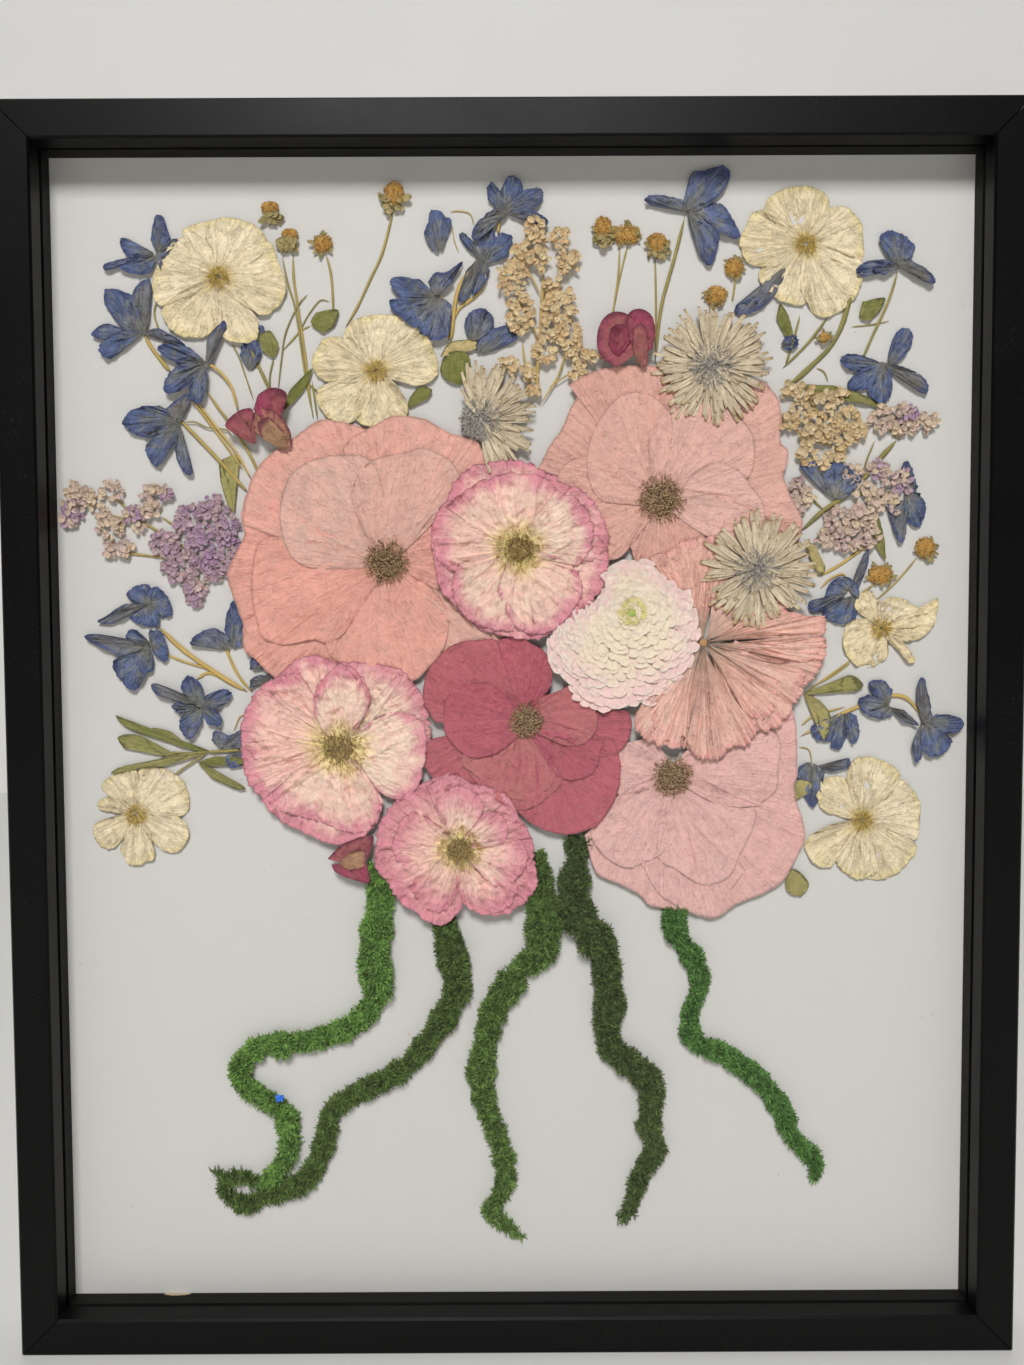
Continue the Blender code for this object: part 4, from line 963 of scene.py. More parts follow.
# Flat cream flowers: hub, layer and petals
CREAM_FLOWERS = {
    "cream_top_left": ((218, 277), MID, [
        (0.2, [(206, 238), (181, 238), (168, 250), (156, 270), (153, 290), (160, 306), (182, 300)]),
        (0.4, [(182, 292), (163, 308), (165, 322), (180, 336), (205, 337), (222, 322)]),
        (0.1, [(186, 246), (184, 230), (210, 221), (230, 218), (254, 225), (266, 238), (262, 256)]),
        (0.3, [(250, 234), (272, 244), (278, 262), (287, 286), (280, 305), (262, 316), (242, 300)]),
        (0.2, [(236, 300), (256, 316), (258, 338), (244, 344), (224, 338), (212, 316)]),
    ]),
    "cream_upper_left": ((376, 371), MID, [
        (0.1, [(342, 340), (348, 326), (360, 318), (388, 315), (412, 320), (420, 334), (410, 348)]),
        (0.3, [(408, 334), (426, 336), (434, 350), (438, 374), (420, 386), (398, 382)]),
        (0.4, [(350, 338), (326, 338), (318, 348), (312, 364), (322, 380), (350, 384)]),
        (0.3, [(352, 380), (322, 386), (317, 400), (328, 418), (348, 424), (366, 410)]),
        (0.5, [(356, 398), (356, 420), (380, 428), (404, 418), (408, 404), (396, 384)]),
    ]),
    "cream_top_right": ((806, 244), LOW, [
        (0.4, [(762, 212), (768, 199), (782, 190), (797, 187), (815, 188), (828, 198), (830, 215)]),
        (0.2, [(822, 212), (842, 207), (857, 217), (863, 234), (861, 262), (842, 264)]),
        (0.5, [(770, 210), (754, 212), (744, 230), (739, 244), (748, 264), (774, 268)]),
        (0.3, [(766, 262), (758, 276), (766, 290), (782, 302), (804, 305), (812, 282)]),
        (0.2, [(800, 290), (814, 314), (830, 317), (850, 304), (861, 284), (862, 262), (846, 256)]),
    ]),
    "cream_low_right": ((862, 820), LOW, [
        (0.4, [(854, 818), (843, 815), (830, 814), (819, 806), (816, 793), (819, 782), (832, 776),
            (845, 779), (856, 796)]),
        (0.2, [(846, 778), (850, 764), (859, 757), (876, 758), (895, 768), (900, 779), (888, 796)]),
        (0.1, [(890, 784), (902, 780), (915, 793), (920, 807), (919, 826), (914, 840), (892, 838)]),
        (0.3, [(900, 834), (914, 842), (915, 853), (904, 867), (890, 877), (866, 878), (860, 852)]),
        (0.2, [(880, 872), (858, 879), (841, 870), (836, 858), (844, 842)]),
        (0.5, [(854, 820), (832, 824), (814, 833), (804, 844), (812, 862), (828, 867), (842, 856)]),
    ]),
    "cream_low_left": ((136, 815), LOW, [
        (0.2, [(112, 800), (102, 787), (114, 774), (133, 767), (140, 776)]),
        (0.1, [(136, 778), (142, 768), (162, 768), (176, 774), (187, 788), (188, 812), (162, 820)]),
        (0.4, [(122, 812), (103, 811), (98, 803), (108, 797), (124, 800)]),
        (0.3, [(122, 814), (98, 822), (94, 834), (100, 846), (114, 848), (130, 832)]),
        (0.2, [(128, 834), (121, 848), (131, 864), (154, 859), (153, 840)]),
        (0.1, [(150, 828), (156, 844), (175, 853), (188, 840), (188, 826), (176, 814)]),
    ]),
    "cream_crumpled": ((881, 628), LOW, [
        (0.4, [(868, 618), (850, 620), (843, 632), (844, 652), (858, 667), (872, 667), (888, 655),
            (886, 640)]),
        (0.3, [(872, 618), (854, 609), (859, 594), (871, 591), (880, 604)]),
        (0.2, [(878, 602), (893, 597), (910, 603), (923, 617), (915, 627), (900, 628)]),
        (0.5, [(896, 618), (930, 612), (937, 598), (934, 622), (922, 637), (905, 642)]),
        (0.3, [(886, 640), (897, 650), (908, 663), (914, 658), (900, 640)]),
    ]),
}


def build_cream_flowers():
    """Flat five-petalled flowers with yellow threads at the heart."""
    petal = petal_material(
        "cream petals", tint(238, 222, 188), tint(228, 208, 166), hub=tint(216, 190, 120), hub_reach=0.3,
        rim=tint(230, 212, 160), rim_start=0.85, veins=0.4, streaks=16, relief=1.0,
    )
    thread = grain_material("cream stamens", tint(150, 120, 30), tint(226, 196, 90))
    for name, (hub, lift, petals) in CREAM_FLOWERS.items():
        piece = Piece(name)
        crumple = 1.3 if name == "cream_crumpled" else 0.7
        for index, (tone, rim) in enumerate(petals):
            piece.petal(
                hub, rim, lift + 0.1 * index, tone, size=(44, 26), crumple=crumple, pleat=0.9, teeth=0.45
            )
        piece.grains(hub, 3.8, 120, lift + 1.5, 0.5, 0.34, lean=1.6)
        piece.finish([petal, petal, thread], "cream", [name])


# Blue spurred florets: layer, petals as (tone, base and outline), stalks as (width in mm, tone, pixels)
DELPHINIUMS = {
    "delphinium_corner": (LOW, [
        (0.0, [(158, 252), (151, 240), (155, 218), (163, 217), (168, 230), (172, 240)]),
        (0.1, [(155, 254), (126, 238), (121, 240), (122, 248), (130, 258), (148, 258)]),
        (0.2, [(152, 256), (134, 256), (106, 264), (106, 271), (120, 267), (140, 262)]),
        (0.0, [(156, 256), (134, 258), (120, 268), (136, 275), (150, 274)]),
        (0.5, [(156, 254), (161, 270), (166, 258), (178, 240), (168, 242)]),
    ], []),
    "delphinium_far_left": (LOW, [
        (0.0, [(142, 334), (120, 326), (106, 306), (105, 291), (112, 289), (128, 293), (137, 302),
            (140, 326)]),
        (0.8, [(142, 334), (134, 332), (131, 308), (136, 288), (146, 280), (152, 284), (150, 320)]),
        (0.6, [(142, 334), (188, 349), (180, 340), (158, 328)]),
        (0.2, [(140, 334), (122, 330), (106, 324), (92, 334), (98, 339), (118, 341)]),
        (0.0, [(142, 334), (134, 330), (116, 334), (100, 346), (104, 357), (112, 358), (120, 342)]),
    ], [(1.6, 0.7, [(144, 334), (152, 348), (164, 364), (171, 372)]),
        (0.8, 0.4, [(156, 302), (155, 318), (167, 349)])]),
    "delphinium_left": (HIGH, [
        (0.9, [(206, 366), (208, 340), (222, 322), (227, 325), (222, 338), (212, 362)]),
        (0.1, [(206, 364), (190, 348), (165, 344), (158, 350), (170, 360), (190, 366)]),
        (0.0, [(206, 364), (182, 362), (168, 376), (164, 390), (172, 394), (188, 386)]),
        (0.2, [(204, 366), (190, 384), (190, 398), (200, 404), (206, 392), (208, 374)]),
        (0.5, [(206, 362), (188, 356), (176, 362), (186, 370)]),
    ], [(1.2, 0.9, [(206, 362), (220, 372), (232, 388), (238, 412)])]),
    "delphinium_bundle": (MID, [
        (0.9, [(178, 420), (166, 410), (180, 398), (189, 394), (190, 404), (182, 420)]),
        (0.0, [(178, 420), (160, 406), (140, 407), (126, 416), (124, 426), (140, 432), (160, 430)]),
        (0.3, [(176, 422), (150, 430), (128, 430), (146, 438), (162, 434)]),
        (0.1, [(178, 422), (156, 434), (146, 448), (151, 461), (158, 467), (168, 454), (178, 438)]),
        (0.4, [(180, 424), (175, 442), (177, 460), (186, 474), (193, 473), (188, 456)]),
    ], [(1.5, 0.6, [(180, 420), (196, 436), (218, 459), (235, 478), (248, 492)]),
        (1.2, 0.5, [(206, 390), (220, 410), (232, 426), (252, 458), (260, 478)]),
        (1.0, 0.9, [(196, 400), (214, 424), (236, 452), (252, 480)]),
        (1.0, 0.8, [(189, 396), (206, 418), (228, 448), (243, 470)]),
        (0.7, 0.2, [(178, 424), (194, 422), (208, 428), (226, 430), (232, 436)])]),
    "delphinium_top": (MID, [
        (0.1, [(504, 212), (488, 200), (487, 188), (492, 183), (500, 190), (508, 202)]),
        (0.0, [(506, 212), (500, 196), (503, 184), (513, 176), (521, 183), (523, 196), (516, 208)]),
        (0.1, [(504, 212), (520, 192), (541, 189), (540, 204), (524, 214)]),
        (0.3, [(508, 214), (532, 210), (547, 220), (545, 227), (530, 222)]),
        (0.8, [(508, 214), (496, 208), (484, 216), (474, 228), (472, 238), (479, 240), (490, 226)]),
    ], [(1.2, 0.8, [(500, 214), (499, 224), (498, 234)])]),
    "delphinium_pair": (LOW, [
        (0.1, [(482, 262), (466, 248), (459, 236), (465, 234), (476, 246)]),
        (0.0, [(484, 262), (478, 244), (484, 228), (492, 228), (496, 240), (490, 256)]),
        (0.1, [(484, 262), (492, 248), (500, 234), (512, 236), (510, 248), (506, 258), (494, 262)]),
        (0.9, [(480, 258), (466, 272), (458, 298), (464, 302), (474, 286), (482, 268)]),
        (0.2, [(484, 262), (476, 278), (472, 296), (484, 286), (490, 272)]),
        (0.0, [(436, 298), (420, 280), (399, 277), (390, 282), (396, 294), (406, 304), (424, 306)]),
        (0.5, [(436, 298), (438, 280), (462, 262), (458, 272), (446, 288)]),
        (0.0, [(436, 298), (414, 298), (391, 300), (392, 310), (406, 322), (418, 328), (430, 314)]),
        (0.1, [(436, 298), (420, 310), (418, 324), (424, 336), (438, 330), (446, 312)]),
        (0.5, [(436, 296), (428, 282), (436, 273), (450, 274), (454, 282)]),
        (0.3, [(438, 298), (446, 312), (440, 330), (430, 341), (448, 336), (452, 306)]),
    ], [(2.0, 0.9, [(478, 262), (462, 282), (456, 300), (453, 320), (451, 342)]),
        (1.2, 0.9, [(486, 264), (485, 282), (476, 296), (460, 308), (454, 320)]),
        (1.2, 0.7, [(438, 294), (444, 304), (446, 324), (450, 342)])]),
    "delphinium_top_right": (MID, [
        (0.5, [(686, 212), (668, 207), (647, 204), (646, 198), (660, 195), (682, 200)]),
        (0.1, [(686, 212), (684, 198), (691, 175), (704, 171), (722, 166), (730, 174), (724, 190),
            (708, 206)]),
        (0.0, [(688, 212), (704, 204), (720, 204), (732, 218), (740, 239), (720, 234), (700, 224)]),
        (0.2, [(688, 212), (704, 220), (718, 232), (717, 251), (710, 266), (700, 256), (692, 234)]),
    ], [(1.4, 0.3, [(685, 216), (674, 259), (661, 307), (655, 362)])]),
    "delphinium_upper_right": (MID, [
        (0.1, [(900, 266), (884, 252), (879, 238), (889, 231), (904, 236), (914, 246), (912, 258)]),
        (0.1, [(900, 268), (884, 260), (866, 262), (856, 270), (862, 277), (884, 272)]),
        (0.9, [(896, 264), (908, 259), (926, 270), (934, 278), (932, 285), (916, 278)]),
        (0.4, [(898, 266), (884, 264), (872, 270), (884, 276)]),
    ], [(1.1, 0.3, [(898, 270), (889, 299), (874, 332), (860, 364)])]),
    "delphinium_right": (LOW, [
        (0.0, [(888, 366), (889, 350), (895, 334), (904, 328), (912, 334), (910, 348), (900, 360)]),
        (0.1, [(884, 366), (864, 356), (848, 354), (840, 360), (848, 370), (864, 372)]),
        (0.0, [(884, 366), (862, 368), (848, 382), (852, 391), (868, 388), (882, 378)]),
        (0.1, [(884, 362), (866, 374), (868, 394), (880, 404), (890, 396), (892, 376)]),
        (0.9, [(884, 366), (900, 366), (918, 374), (928, 386), (924, 394), (906, 384)]),
    ], []),
    "delphinium_branch_left": (LOW, [
        (0.0, [(150, 606), (132, 602), (127, 594), (136, 586), (150, 585), (152, 598)]),
        (0.1, [(150, 606), (148, 590), (158, 587), (170, 600), (172, 615), (162, 618)]),
        (0.0, [(150, 604), (140, 610), (130, 618), (144, 626), (158, 626), (160, 614)]),
        (0.7, [(144, 606), (124, 604), (106, 616), (98, 622), (112, 624), (132, 614)]),
        (0.0, [(150, 644), (138, 630), (130, 630), (126, 640), (136, 650)]),
        (0.0, [(150, 644), (150, 630), (162, 632), (168, 650), (166, 662), (156, 656)]),
        (0.1, [(148, 644), (154, 660), (152, 672), (140, 670), (134, 656)]),
        (0.1, [(148, 650), (132, 654), (115, 660), (113, 668), (124, 684), (136, 690), (146, 676)]),
        (0.7, [(144, 646), (124, 638), (98, 634), (85, 636), (92, 643), (122, 656)]),
    ], [(2.0, 0.9, [(158, 626), (185, 651), (221, 676), (248, 692)]),
        (1.0, 0.8, [(158, 651), (185, 662), (208, 669), (236, 684)])]),
    "delphinium_star": (MID, [
        (0.0, [(200, 708), (186, 696), (181, 686), (188, 676), (200, 682), (206, 698)]),
        (0.1, [(200, 708), (208, 694), (224, 689), (232, 694), (226, 704), (212, 710)]),
        (0.0, [(200, 708), (210, 706), (222, 716), (220, 726), (208, 724)]),
        (0.1, [(200, 708), (202, 724), (192, 739), (182, 732), (180, 720), (188, 712)]),
        (0.5, [(198, 708), (180, 714), (172, 706), (182, 700)]),
        (0.8, [(196, 704), (180, 702), (160, 696), (151, 686), (160, 684), (184, 694)]),
    ], []),
    "delphinium_branch_right": (LOW, [
        (0.2, [(844, 712), (826, 720), (811, 726), (814, 738), (828, 741), (838, 730)]),
        (0.1, [(844, 712), (836, 722), (830, 744), (838, 750), (846, 738), (848, 722)]),
        (0.0, [(844, 712), (846, 732), (852, 744), (859, 734), (856, 716)]),
        (0.0, [(888, 704), (874, 696), (868, 686), (872, 680), (884, 681), (892, 690)]),
        (0.4, [(890, 706), (868, 694), (858, 700), (864, 713), (880, 719), (892, 716)]),
        (0.9, [(890, 708), (904, 710), (918, 725), (902, 722)]),
        (0.8, [(924, 724), (916, 702), (917, 682), (923, 678), (928, 694), (932, 716)]),
        (0.1, [(926, 722), (936, 714), (952, 715), (963, 721), (960, 730), (944, 735)]),
        (0.0, [(926, 722), (940, 732), (952, 741), (942, 754), (928, 756), (919, 744)]),
        (0.3, [(922, 722), (920, 738), (921, 756), (915, 762), (911, 744)]),
    ], [(1.6, 0.9, [(800, 737), (830, 719), (862, 705), (888, 696), (906, 698), (922, 716)]),
        (0.9, 0.8, [(801, 726), (815, 715), (845, 707)])]),
}

# Everything small that the solids leave out: florets, stems and leaves beside the pieces above
LOOSE_FLORETS = [
    (0.2, [(262, 341), (258, 334), (259, 327), (264, 327), (266, 335)]),
    (0.1, [(250, 370), (240, 356), (244, 344), (256, 341), (262, 352), (258, 364)]),
    (0.1, [(440, 251), (430, 248), (424, 234), (428, 224), (430, 213), (437, 211), (446, 217), (452, 222),
        (446, 240)]),
    (0.4, [(472, 341), (464, 328), (466, 318), (474, 310), (486, 310), (494, 320), (490, 332)]),
    (0.1, [(480, 354), (476, 344), (492, 330), (510, 326), (517, 333), (514, 342), (494, 350)]),
    (0.0, [(781, 346), (785, 337), (796, 336), (798, 345), (790, 351)]),
    (0.7, [(783, 268), (774, 286), (757, 303), (737, 304), (737, 315), (757, 311), (772, 298), (782, 282)]),
    (0.1, [(835, 499), (813, 482), (799, 464), (826, 462), (852, 468), (861, 480), (850, 495)]),
    (0.2, [(911, 497), (901, 483), (901, 468), (906, 461), (912, 470), (917, 487)]),
    (0.1, [(906, 494), (920, 494), (926, 508), (919, 527), (906, 520), (903, 504)]),
    (0.7, [(908, 502), (886, 504), (890, 520), (898, 542), (904, 539), (906, 520)]),
    (0.1, [(849, 590), (823, 600), (828, 586), (834, 579), (846, 577), (858, 587), (857, 599)]),
    (0.2, [(844, 594), (822, 598), (808, 602), (811, 612), (823, 610), (840, 604)]),
    (0.0, [(852, 596), (830, 606), (821, 614), (830, 621), (842, 624), (855, 618), (858, 606)]),
    (0.7, [(850, 590), (854, 574), (861, 558), (868, 550), (867, 566), (860, 584)]),
    (0.5, [(228, 650), (206, 646), (190, 644), (198, 634), (214, 628), (229, 636)]),
    (0.0, [(232, 648), (225, 630), (228, 612), (235, 601), (243, 620), (245, 642)]),
    (0.0, [(257, 670), (249, 669), (252, 658), (262, 660), (267, 669)]),
    (0.8, [(264, 682), (250, 689), (251, 680), (260, 675), (274, 676)]),
    (0.5, [(222, 749), (212, 740), (216, 730), (230, 735), (243, 730), (244, 747)]),
    (0.0, [(236, 752), (225, 757), (230, 767), (243, 765), (247, 754)]),
    (0.7, [(810, 768), (832, 772), (849, 766), (848, 758), (838, 761)]),
    (0.3, [(812, 764), (799, 766), (797, 776), (804, 796), (812, 807), (819, 798), (825, 773)]),
]

LOOSE_LEAVES = [
    (0.0, [(312, 368), (302, 380), (294, 386), (286, 398), (282, 412), (298, 398), (308, 384)]),
    (0.1, [(311, 324), (316, 313), (338, 310), (334, 326), (324, 333)]),
    (0.2, [(274, 358), (262, 350), (259, 336), (270, 331), (279, 344)]),
    (0.0, [(462, 384), (446, 380), (440, 370), (448, 353), (466, 353), (471, 366), (468, 378)]),
    (0.9, [(462, 352), (440, 357), (451, 342), (475, 341), (477, 349)]),
    (0.1, [(408, 408), (410, 397), (420, 387), (432, 390), (428, 399)]),
    (0.5, [(804, 695), (819, 700), (829, 712), (830, 726), (823, 740), (818, 716)]),
    (0.3, [(802, 694), (842, 690), (844, 677), (854, 676), (863, 685), (856, 691)]),
    (0.6, [(796, 799), (791, 790), (798, 780), (812, 783), (806, 794)]),
    (0.4, [(788, 892), (785, 879), (792, 869), (801, 873), (809, 885), (801, 896)]),
    (0.1, [(788, 340), (776, 318), (780, 304), (788, 316), (794, 338)]),
    (0.1, [(860, 318), (862, 302), (884, 298), (880, 310), (870, 321)]),
    (0.2, [(803, 386), (833, 386), (861, 394), (886, 408), (861, 404), (828, 398)]),
    (0.2, [(886, 560), (873, 542), (878, 518), (884, 538)]),
    (0.8, [(804, 540), (815, 546), (825, 568), (818, 573), (809, 556)]),
    (0.4, [(240, 457), (222, 460), (224, 473), (230, 487), (234, 520), (222, 486), (219, 462)]),
]

# Width in mm, tone and pixels of each loose stem
LOOSE_STEMS = [
    (1.1, 0.5, [(293, 254), (294, 280), (297, 300), (303, 340), (307, 370), (313, 420)]),
    (0.9, 0.3, [(282, 256), (288, 284), (296, 312), (306, 380), (314, 420)]),
    (1.0, 0.4, [(326, 254), (331, 274), (333, 300), (333, 314)]),
    (0.7, 0.3, [(311, 326), (300, 332), (282, 352)]),
    (0.8, 0.2, [(274, 358), (270, 376), (270, 394)]),
    (0.7, 0.1, [(308, 294), (298, 306), (286, 332), (282, 356), (278, 392)]),
    (0.7, 0.1, [(330, 302), (320, 301), (308, 316), (298, 334), (284, 350)]),
    (0.7, 0.2, [(232, 344), (240, 360), (254, 402)]),
    (1.4, 0.2, [(248, 344), (268, 386), (270, 396)]),
    (0.9, 0.2, [(312, 380), (318, 422)]),
    (0.9, 0.2, [(306, 382), (320, 394)]),
    (0.8, 0.5, [(620, 244), (618, 277), (613, 312), (604, 366)]),
    (0.8, 0.5, [(628, 244), (620, 277), (613, 312)]),
    (0.9, 0.4, [(655, 254), (656, 310), (655, 366)]),
    (0.9, 0.5, [(735, 279), (734, 290), (732, 302)]),
    (1.0, 0.5, [(716, 304), (712, 314), (708, 322)]),
    (0.8, 0.5, [(919, 555), (897, 581), (874, 602)]),
    (0.8, 0.5, [(876, 583), (866, 590), (857, 597)]),
    (1.8, 0.1, [(861, 282), (849, 302), (833, 343), (803, 373), (787, 387)]),
    (1.6, 0.0, [(852, 300), (836, 338), (812, 366), (790, 386)]),
    (1.1, 0.2, [(828, 317), (808, 343), (782, 369)]),
    (1.1, 0.2, [(800, 315), (793, 342), (785, 366)]),
    (0.6, 0.3, [(851, 327), (870, 325), (890, 321)]),
    (0.6, 0.4, [(816, 368), (824, 372), (828, 382)]),
    (1.3, 0.9, [(818, 577), (841, 564), (862, 549), (880, 537)]),
    (0.9, 0.9, [(820, 589), (830, 579), (843, 574), (847, 584)]),
    (0.8, 0.6, [(803, 695), (820, 690), (842, 684)]),
    (0.8, 0.7, [(854, 658), (830, 675), (803, 694)]),
    (0.7, 0.6, [(852, 662), (832, 676), (811, 687)]),
    (0.5, 0.8, [(450, 212), (458, 211), (470, 214), (474, 226)]),
    (0.5, 0.7, [(452, 226), (454, 240), (459, 254)]),
    (0.6, 0.8, [(778, 284), (772, 295), (765, 305)]),
    (0.6, 0.6, [(799, 747), (809, 750), (812, 765)]),
    (1.3, 0.8, [(227, 642), (228, 653), (239, 676), (253, 693)]),
    (1.2, 0.9, [(196, 680), (208, 673), (222, 678), (246, 690)]),
    (0.6, 0.8, [(249, 714), (240, 717), (234, 731)]),
]

# Chamomile heads: middle, radii in mm and, where some are left, the lowest point of the petals
HEADS = [
    ((270, 208), (4.2, 2.8), (270, 224)), ((290, 235), (3.8, 2.7), (289, 253)),
    ((323, 244), (4.4, 4.3), None), ((603, 228), (4.2, 5.4), (603, 240)), ((626, 235), (6.8, 4.6), None),
    ((657, 243), (4.6, 4.5), (658, 253)), ((734, 268), (4.6, 4.8), None), ((716, 296), (5.2, 4.6), None),
    ((925, 548), (4.8, 5.2), None), ((880, 575), (6.2, 4.6), None), ((824, 338), (2.6, 2.2), None),
]


# Tiny florets on each domed head
HEAD_GRAINS = 210


def petal_set():
    """The materials that the small pieces share."""
    return {
        "blue": petal_material("blue petals", tint(94, 108, 144), tint(122, 116, 106),
        hub=tint(126, 124, 116),
                               hub_reach=0.6, rim=tint(68, 80, 122), rim_start=0.75, veins=0.9,
                               blotch=0.8, streaks=9, stain=tint(120, 124, 128)),
        "green": petal_material("leaves", tint(122, 126, 62), tint(206, 186, 130), rim=tint(96, 96, 52),
                                rim_start=0.9, veins=0.3, streaks=12, blotch=0.4),
        "stem": stem_material("stems", tint(124, 122, 68), tint(204, 172, 98)),
        "honey": grain_material("chamomile domes", tint(120, 82, 36), tint(222, 176, 92)),
        "dust": grain_material("seed dust", tint(120, 106, 72), tint(216, 196, 140)),
    }


# What the petals of all the blue florets share
FLORET = {"size": (30, 18), "crumple": 0.75, "pleat": 1.1, "teeth": 0.5, "frill": 0.8}


def build_delphiniums(shared):
    """Blue spurred florets with navy edges, on golden stems."""
    looks = [shared["blue"], shared["stem"], shared["honey"]]
    for name, (lift, petals, stalks) in DELPHINIUMS.items():
        piece = Piece(name)
        for width, tone, line in stalks:
            piece.stalk(line, width, lift, tone)
        for index, (tone, line) in enumerate(petals):
            piece.petal(line[0], line[1:], lift + 0.45 + FLORET_STEP * index, tone, **FLORET)
        piece.finish(looks, "dry_blue", [name])
    florets = Piece("loose_florets")
    for index, (tone, line) in enumerate(LOOSE_FLORETS):
        florets.petal(line[0], line[1:], MID + 0.1 * (index % 4), tone, **FLORET)
    florets.finish(looks, "dry_blue")


def add_head(piece, centre, radii, skirt, lift):
    """A domed head of tiny florets, with a ruff of limp petals under it if any are left."""
    if skirt:
        below = (centre[0], (centre[1] + skirt[1]) / 2 + 2)
        piece.tuft(below, (radii[0] * 1.1, radii[1] * 0.8), 26, lift, 1.2, 3.2, tones=(0.8, 1.0), width=0.7)
    else:
        piece.tuft(centre, (radii[0] * 0.9, radii[1] * 0.9), 22, lift, 1.2, 3.0, tones=(0.7, 1.0), width=0.5)
    piece.dome(centre, radii[0] * 0.85, lift, 1.7, squeeze=radii[1] / radii[0], lump=0.35)
    piece.settle(500)
    middle = spot(centre, lift)
    for _ in range(HEAD_GRAINS):
        turn = piece.random.uniform(0, 2 * math.pi)
        out = math.sqrt(piece.random.random())
        foot = middle + Vector((math.cos(turn) * radii[0], math.sin(turn) * radii[1])) * out * 0.95
        height = lift + 1.8 * math.sqrt(max(0.0, 1 - out * out))
        grain = piece.random.uniform(0.2, 0.38) * MM
        made = bmesh.ops.create_icosphere(piece.bm, subdivisions=1, radius=grain)
        shade = piece.random.random()
        where = raised(foot, height)
        for vert in made["verts"]:
            vert.co = vert.co + where
            vert[piece.tone] = shade
        dress(made["verts"], GRAIN)


def build_chamomiles(shared):
    """Honey-brown domes on thin stems; most have lost their petals."""
    looks = [shared["green"], shared["stem"], shared["honey"]]
    tall = Piece("chamomile_tall")
    tall.stalk([(395, 200), (391, 220), (382, 254), (370, 280), (358, 306), (345, 328)], 1.0, LOW, 0.5)
    add_head(tall, (394, 194), (5.0, 5.6), (394, 206), LOW + 0.3)
    tall.finish(looks, "honey", ["chamomile_tall"])
    heads = Piece("chamomile_heads")
    for centre, radii, skirt in HEADS:
        add_head(heads, centre, radii, skirt, LOW + 0.3)
    heads.finish(looks, "honey")


BUD_SPRIG = [
    (0.2, [(182, 758), (124, 748), (118, 738), (128, 734), (143, 736), (150, 745), (168, 758)]),
    (0.1, [(211, 751), (181, 747), (152, 737), (126, 727), (116, 715), (130, 722), (158, 735), (184, 742)]),
    (0.2, [(184, 743), (168, 738), (152, 728), (170, 731), (182, 740)]),
    (0.3, [(208, 752), (186, 756), (166, 766), (142, 768), (112, 774), (120, 767), (144, 762), (166, 757),
        (186, 752)]),
    (0.1, [(198, 763), (216, 756), (244, 758), (242, 764), (216, 766)]),
    (0.2, [(198, 762), (216, 770), (245, 787), (236, 789), (212, 778)]),
]


def build_leaves(shared):
    """A bud with its narrow leaves, and the loose leaves and stems."""
    looks = [shared["green"], shared["stem"], shared["honey"]]
    sprig = Piece("bud_sprig")
    for index, (tone, line) in enumerate(BUD_SPRIG):
        sprig.petal(line[0], line[1:], MID + 0.1 * index, tone, size=(18, 12), crumple=0.5, pleat=0.3)
    sprig.stalk([(206, 752), (222, 751), (242, 750)], 1.3, MID, 0.3)
    sprig.stalk([(208, 752), (190, 764), (174, 775)], 1.0, MID, 0.3)
    sprig.stalk([(168, 752), (190, 753), (210, 752)], 1.0, MID, 0.3)
    sprig.finish(looks, "leaf_green", ["bud_sprig"])
    leaves = Piece("loose_leaves")
    for index, (tone, line) in enumerate(LOOSE_LEAVES):
        leaves.petal(line[0], line[1:], MID + 0.1 * (index % 5), tone, size=(18, 12), crumple=0.6, pleat=0.3)
    leaves.finish(looks, "leaf_green")
    stems = Piece("loose_stems")
    for index, (width, tone, line) in enumerate(LOOSE_STEMS):
        stems.stalk(line, width, 0.1 + 0.12 * (index % 3), tone)
    stems.finish(looks, "leaf_green")


# Clusters of florets: middle, radii in mm and share of purple
DRIED_SPRIG = [
    ((535, 224), (2.6, 2.2), 0), ((533, 236), (2.4, 2.6), 0), ((543, 236), (2.2, 2.6), 0),
    ((560, 240), (3.2, 4.4), 0), ((522, 252), (4.4, 3.8), 0), ((538, 260), (4.0, 4.8), 0),
    ((567, 262), (4.8, 5.2), 0), ((512, 278), (6.0, 7.0), 0), ((521, 314), (5.6, 8.0), 0),
    ((550, 330), (5.0, 4.4), 0), ((560, 308), (6.4, 7.4), 0), ((544, 352), (4.4, 4.0), 0),
    ((570, 338), (4.8, 6.2), 0), ((576, 352), (4.0, 3.6), 0), ((590, 356), (3.0, 2.6), 0),
    ((578, 372), (3.4, 2.8), 0), ((508, 366), (3.4, 3.0), 0), ((528, 374), (3.2, 3.0), 0),
    ((534, 392), (2.6, 3.0), 0), ((553, 284), (3.2, 3.4), 0),
]
CREAM_CLUSTER = [
    ((788, 421), (3.6, 4.4), 0), ((808, 436), (4.2, 3.8), 0), ((846, 421), (5.6, 5.0), 0),
    ((846, 439), (5.2, 4.2), 0), ((808, 454), (4.0, 4.0), 0), ((823, 462), (3.2, 2.6), 0),
    ((788, 390), (3.2, 2.8), 0), ((805, 393), (3.8, 3.2), 0), ((824, 405), (5.4, 4.6), 0),
    ((822, 430), (6.0, 5.6), 0), ((801, 412), (4.6, 4.6), 0), ((836, 454), (3.4, 2.8), 0),
    ((858, 432), (3.0, 3.6), 0), ((838, 396), (3.0, 2.6), 0),
]
